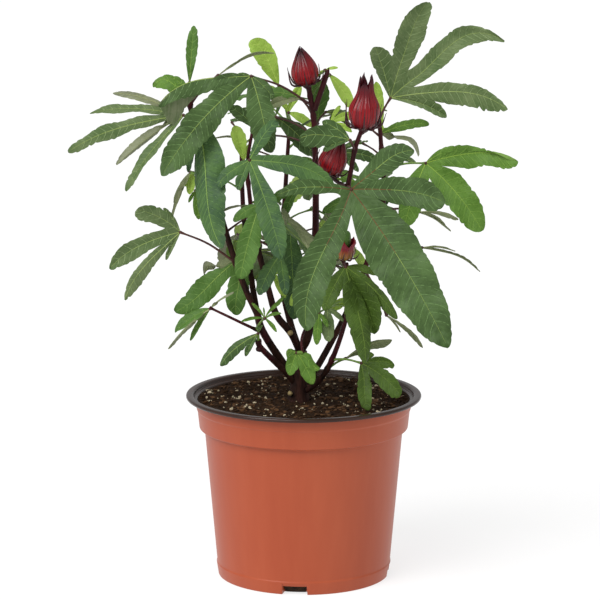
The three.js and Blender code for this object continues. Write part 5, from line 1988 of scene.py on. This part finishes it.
@dataclass
class Pot:
    """Two-coloured nursery pot: terracotta wall with foot notches, black lining and lip."""

    segments: int = 176
    bead_height: float = 147.0
    bead_step: float = 0.6

    def wall_radius(self, height: float) -> float:
        """Outer radius of the plain wall at a height below the collar."""
        return BASE_RADIUS + (WALL_TOP_RADIUS - BASE_RADIUS) * height / COLLAR_FOOT_HEIGHT

    def notch_angles(self) -> list[float]:
        """Directions of the drainage notches in radians."""
        steps = range(NOTCH_COUNT)
        return [math.radians(NOTCH_TURN + step * 360.0 / NOTCH_COUNT) for step in steps]

    def angles(self) -> np.ndarray:
        """Turns at which the wall has a column, with two close ones at each notch side."""
        edges = [
            middle + half
            for middle in self.notch_angles()
            for half in NOTCH_HALF * np.array([-1.0, -0.93, 0.93, 1.0])
        ]
        every = np.concatenate([turns(self.segments), np.array(edges) % (2.0 * math.pi)])
        every = np.sort(every)
        return every[np.concatenate([[True], np.diff(every) > 1e-4])]

    def shell(self) -> Buffer:
        """The terracotta wall.

        It is an outline turned about the axis. Inside a notch, every place that is further out
        than the notch's depth is raised to the notch's height.
        """
        foot = self.wall_radius(FOOT_BAND_HEIGHT)
        bead = COLLAR_LOW_RADIUS + (COLLAR_TOP_RADIUS - COLLAR_LOW_RADIUS) * (
            (self.bead_height - COLLAR_EDGE_HEIGHT) / (POT_HEIGHT - LIP_DROP - COLLAR_EDGE_HEIGHT)
        )
        outline = [
            (0.5, 0.0),
            (BASE_RADIUS - NOTCH_DEPTH - 0.6, 0.0),
            (BASE_RADIUS - NOTCH_DEPTH, 0.0),
            (BASE_RADIUS, 0.0),
            (foot + FOOT_BAND_STEP, FOOT_BAND_HEIGHT),
            (self.wall_radius(FOOT_BAND_HEIGHT + 1.0), FOOT_BAND_HEIGHT + 1.0),
            (WALL_TOP_RADIUS, COLLAR_FOOT_HEIGHT),
            (COLLAR_LOW_RADIUS, COLLAR_EDGE_HEIGHT),
            (bead - 0.3, self.bead_height - 0.6),
            (bead + self.bead_step, self.bead_height + 0.6),
            (COLLAR_TOP_RADIUS, POT_HEIGHT - LIP_DROP),
            (COLLAR_TOP_RADIUS - 0.6, POT_HEIGHT - LIP_DROP),
            *reversed(inset_wall(WALL, POT_HEIGHT - LIP_DROP - 3.4)),
            (BASE_RADIUS - WALL, NOTCH_HEIGHT + 1.0),
            (0.5, NOTCH_HEIGHT + 1.0),
        ]
        rings = revolve(soften(outline, 0.8), self.angles())
        turn = np.arctan2(rings[..., 1], rings[..., 0])
        middles = np.array(self.notch_angles())[:, None, None]
        off = np.abs((turn - middles + math.pi) % (2.0 * math.pi) - math.pi).min(axis=0)
        back = BASE_RADIUS - NOTCH_DEPTH
        far = np.hypot(rings[..., 0], rings[..., 1])
        inside = smooth(NOTCH_HALF, NOTCH_HALF * 0.93, off) * smooth(back - 1.2, back - 0.1, far)
        height = rings[..., 2]
        rings[..., 2] = np.maximum(height, NOTCH_HEIGHT * inside + 0.02 * height)
        return Buffer().tube(rings)

    def lining(self) -> Buffer:
        """The black layer inside the wall, with the rolled lip, as an outline turned."""
        outer = WALL + GAP
        inner = outer + LINING_WALL
        under = POT_HEIGHT - LIP_DROP + GAP
        floor = NOTCH_HEIGHT + 1.0 + GAP
        outline = [
            (0.5, floor),
            (BASE_RADIUS - outer, floor),
            *inset_wall(outer, under),
            (RIM_RADIUS, under),
            (RIM_RADIUS, POT_HEIGHT),
            (LIP_INNER_RADIUS, POT_HEIGHT),
            (LIP_INNER_RADIUS - 0.6, under - 0.2),
            (COLLAR_TOP_RADIUS - inner + 0.6, under - THROAT_DROP),
            (COLLAR_LOW_RADIUS - inner, COLLAR_EDGE_HEIGHT),
            (WALL_TOP_RADIUS - inner, COLLAR_FOOT_HEIGHT),
            (BASE_RADIUS - inner, floor + LINING_WALL),
            (0.5, floor + LINING_WALL),
        ]
        return Buffer().tube(revolve(soften(outline, 2.1, 7), turns(self.segments)))

    def notch_shade_plates(self) -> Buffer:
        """Painted shade in each notch: a near-black plate from its back up to its front, standing for
        the shadow inside the opening.
        """
        section = [
            (BASE_RADIUS - 2.0, NOTCH_HEIGHT - 0.2),
            (BASE_RADIUS - 1.2, NOTCH_HEIGHT - 0.2),
            (BASE_RADIUS - NOTCH_DEPTH + 0.7, 0.4),
            (BASE_RADIUS - NOTCH_DEPTH + 0.2, 0.4),
        ]
        buffer = Buffer()
        fan = 0.9 * NOTCH_HALF
        for middle in self.notch_angles():
            across = revolve(np.array(section), middle + np.linspace(-fan, fan, 8))
            buffer.tube(across.transpose(1, 0, 2))
        return buffer

    def build(self) -> None:
        """Makes the wall, the lining and the plates of painted shade inside the notches."""
        report(self.shell().build("pot_wall", finishes(Bare.POT)), "pot_wall", ["pot_shell"])
        lining = self.lining().build("pot_lining_and_lip", finishes(Bare.LINING))
        report(lining, "pot_inside", ["pot_lining"])
        # Near-black plates in the notches, in the mix's dark finish: painted shade for the dark inside
        # of the openings
        report(self.notch_shade_plates().build("notch_painted_shade", finishes(Bare.MIX)), "pot_inside")


@dataclass(frozen=True)
class Grains:
    """Loose bits strewn over the mix: how many, their size range and their flatness."""

    name: str
    count: int
    low: float
    high: float
    flat: float
    sink: float
    finish: Bare
    seed: int


@dataclass
class PottingMix:
    """Moist peat and bark with perlite, level just under the lip."""

    segments: int = 150
    rings: int = 66
    top_radius: float = 91.6
    wall_inset: float = WALL + GAP + LINING_WALL + GAP
    # Soft humps of the surface: height, width, seed and number of waves
    humps: tuple[tuple[float, float, int, int], ...] = (
        (0.9, 22.0, 3, 9), (0.6, 7.0, 4, 9), (0.45, 2.6, 6, 16)
    )
    strewn: tuple[Grains, ...] = (
        Grains("peat_crumbs", 2600, 0.5, 1.9, 0.7, 0.1, Bare.CRUMB, 5),
        Grains("bark_chips", 800, 0.8, 3.2, 0.34, 0.0, Bare.CHIP, 8),
        Grains("perlite", 300, 0.35, 1.8, 0.85, -0.1, Bare.PERLITE, 13),
    )

    def relief(self, points: np.ndarray) -> np.ndarray:
        """Height of the loose surface over its level: three sizes of soft random humps."""
        flat = points * np.array([1.0, 1.0, 0.0])
        return sum(height * waves(flat, *hump) for height, *hump in self.humps)

    def surface(self) -> Buffer:
        """The body of the mix: an outline turned, with relief on its top."""
        inset = self.wall_inset
        bottom = NOTCH_HEIGHT + 1.0 + 2.0 * GAP + LINING_WALL
        side = [
            (0.5, bottom),
            (BASE_RADIUS - inset - 8.0, bottom),
            (BASE_RADIUS - inset + 1.0, bottom + 10.0),
            *inset_wall(inset, MIX_EDGE_LEVEL - 2.6),
        ]
        radii = np.linspace(self.top_radius, 0.5, self.rings)
        level = MIX_LEVEL + (MIX_EDGE_LEVEL - MIX_LEVEL) * (radii / self.top_radius) ** 2
        outline = np.concatenate([np.array(side), np.stack([radii, level], -1)])
        grid = revolve(outline, turns(self.segments))
        top = grid[len(side) :]
        calm = smooth(0.0, 6.0, self.top_radius - np.hypot(top[..., 0], top[..., 1])) * 0.8 + 0.2
        top[..., 2] += self.relief(top) * calm
        return Buffer().tube(grid)

    def ball(self) -> tuple[np.ndarray, np.ndarray]:
        """Corners and faces of a ball with twenty faces, all facing out."""
        golden = (1.0 + math.sqrt(5.0)) / 2.0
        pairs = [(s, t * golden) for s in (-1, 1) for t in (-1, 1)]
        corners = [(0, s, t) for s, t in pairs] + [(s, t, 0) for s, t in pairs]
        base = unit(np.array(corners + [(t, 0, s) for s, t in pairs], float))
        apart = np.linalg.norm(base[:, None] - base[None], axis=-1)
        near = (apart < 1.2) & (apart > 0.1)
        triples = combinations(range(12), 3)
        faces = [face for face in triples if all(near[pair] for pair in combinations(face, 2))]
        skin = np.array(faces)
        a, b, c = base[skin[:, 0]], base[skin[:, 1]], base[skin[:, 2]]
        inward = (np.cross(b - a, c - a) * (a + b + c)).sum(1) < 0
        skin[inward] = skin[inward][:, [0, 2, 1]]
        return base, skin

    def strew(self, grains: Grains) -> Buffer:
        """Strews rough grains over the surface.

        Each is a twenty-faced ball whose corners are pushed in or out at random, made flat, turned,
        and set on the relief. Of twice as many places as needed, drawn evenly over the disc, the
        half where a soft random field is higher is kept, so the grains lie in clumps.

        Args:
            grains: what to strew.

        Returns:
            The grains.
        """
        base, corners = self.ball()
        rng = np.random.default_rng(grains.seed)
        count = grains.count
        size = grains.low + (grains.high - grains.low) * rng.power(0.42, (count, 1, 1))
        shape = base[None] * rng.uniform(0.72, 1.25, (count, 12, 1))
        wide, deep = rng.uniform(0.8, 1.5, count), rng.uniform(0.7, 1.1, count)
        shape = shape * np.stack([wide, deep, np.full(count, 1.0)], -1)[:, None]
        shape[..., 2] *= grains.flat
        turn = rng.uniform(0.0, 2.0 * math.pi, (count, 1))
        tilt = rng.normal(0.0, 0.35, (count, 1))
        x, y, z = shape[..., 0], shape[..., 1], shape[..., 2]
        y, z = y * np.cos(tilt) - z * np.sin(tilt), y * np.sin(tilt) + z * np.cos(tilt)
        x, y = x * np.cos(turn) - y * np.sin(turn), x * np.sin(turn) + y * np.cos(turn)
        shape = np.stack([x, y, z], -1) * size
        radius = (self.top_radius - grains.high - 0.6) * np.sqrt(rng.uniform(0.0, 1.0, 2 * count))
        angle = rng.uniform(0.0, 2.0 * math.pi, 2 * count)
        spots = np.stack([radius * np.cos(angle), radius * np.sin(angle), 0.0 * angle], -1)
        crowding = waves(spots, 13.0, grains.seed) + rng.normal(0.0, 0.7, 2 * count)
        spots = spots[np.argsort(crowding)[count:]]
        spots[:, 2] = MIX_LEVEL + self.relief(spots) - grains.sink
        skin = (corners[None] + 12 * np.arange(count)[:, None, None]).reshape(-1, 3)
        buffer = Buffer()
        buffer.add(shape + spots[:, None], (skin, 0))
        return buffer

    def build(self) -> None:
        """Makes the mix and what is strewn on it."""
        body = self.surface().build("potting_mix_body", finishes(Bare.MIX))
        report(body, "potting_mix", ["potting_mix"])
        for grains in self.strewn:
            piece = self.strew(grains).build(grains.name, [grains.finish.value.build()])
            report(piece, "potting_mix")


# Studio


@dataclass
class Studio:
    """Pale floor, soft light and the camera at the photograph's viewing angle.

    Attributes:
        eye: place of the camera in millimetres.
        pitch: how far it looks down, in degrees.
        lens: focal length in millimetres on a sensor 36 wide.
        aim_height: height in metres that the lights face.
    """

    eye: tuple[float, float, float] = EYE
    pitch: float = 10.83
    lens: float = 180.0
    aim_height: float = 0.25

    def camera(self) -> None:
        """Adds the camera."""
        data = bpy.data.cameras.new("camera")
        data.lens = self.lens
        data.sensor_width = 36.0
        data.clip_end = 100.0
        camera = bpy.data.objects.new("camera", data)
        camera.location = [value * MM for value in self.eye]
        camera.rotation_euler = (math.radians(90.0 - self.pitch), 0.0, 0.0)
        bpy.context.scene.collection.objects.link(camera)
        bpy.context.scene.camera = camera

    def lamp(
        self, name: str, place: tuple[float, float, float], size: float, power: float,
        sun: bool = False,
    ) -> None:
        """Adds a square soft light, or a soft sun, that faces the plant.

        Args:
            name: its name.
            place: its middle in metres, which gives a sun its direction.
            size: its side in metres, or the sun's width in radians.
            power: its power in watts, or the sun's in watts per square metre.
            sun: whether it is a sun.
        """
        data = bpy.data.lights.new(name, "SUN" if sun else "AREA")
        if sun:
            data.angle = size
        else:
            data.size = size
        data.energy = power
        lamp = bpy.data.objects.new(name, data)
        lamp.location = place
        aim = unit(UP * self.aim_height - np.array(place))
        lamp.rotation_euler = (
            math.acos(float(-aim[2])), 0.0, math.atan2(float(-aim[0]), float(aim[1]))
        )
        bpy.context.scene.collection.objects.link(lamp)

    def floor(self) -> None:
        """Adds the pale floor as a wide disc just under the pot."""
        outline = np.array([(1.0, -6.0), (40000.0, -6.0), (40000.0, -0.05), (1.0, -0.05)])
        buffer = Buffer().tube(revolve(outline, turns(96)))
        paper = Finish(
            "white_paper_backdrop", "#8f8f8f", "#929292", 900.0, 0.85, 0.01, 8.0, gloss=0.1,
            glow=0.74,
        )
        buffer.build("floor", [paper.build()])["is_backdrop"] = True

    def world(self) -> None:
        """Gives an even white surround."""
        world = bpy.data.worlds.new("white_surround")
        world.use_nodes = True
        world.node_tree.nodes.clear()
        light = {"Color": linear("#ffffff"), "Strength": 0.55}
        glow = add_node(world.node_tree, "Background", light)[0]
        add_node(world.node_tree, "OutputWorld", {"Surface": glow})
        bpy.context.scene.world = world

    def build(self) -> None:
        """Sets everything up."""
        self.camera()
        self.world()
        self.floor()
        self.lamp("soft_sun", (-0.45, -0.6, 1.1), 0.7, 2.0, sun=True)
        self.lamp("key_light", (-1.7, -1.6, 1.6), 1.2, 18.0)
        self.lamp("fill_light", (1.9, -1.5, 1.2), 1.6, 5.0)
        bpy.context.scene.view_settings.view_transform = "Standard"


def corners() -> list[list[float]]:
    """The lowest and highest corner of the shown object, as plain numbers."""
    return [[float(value) for value in corner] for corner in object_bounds()]


def main() -> None:
    """Builds the plant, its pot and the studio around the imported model."""
    logging.basicConfig(level=logging.INFO, format="%(message)s")
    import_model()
    growth = Growth()
    Studio().build()
    Pot().build()
    PottingMix().build()
    Wood(growth).build()
    Foliage(growth).build()
    Fruits().build()
    for name, leaves in growth.leaves.items():
        LOG.info("limb %s: %d leaves", name, len(leaves))


if __name__ == "__main__":
    main()
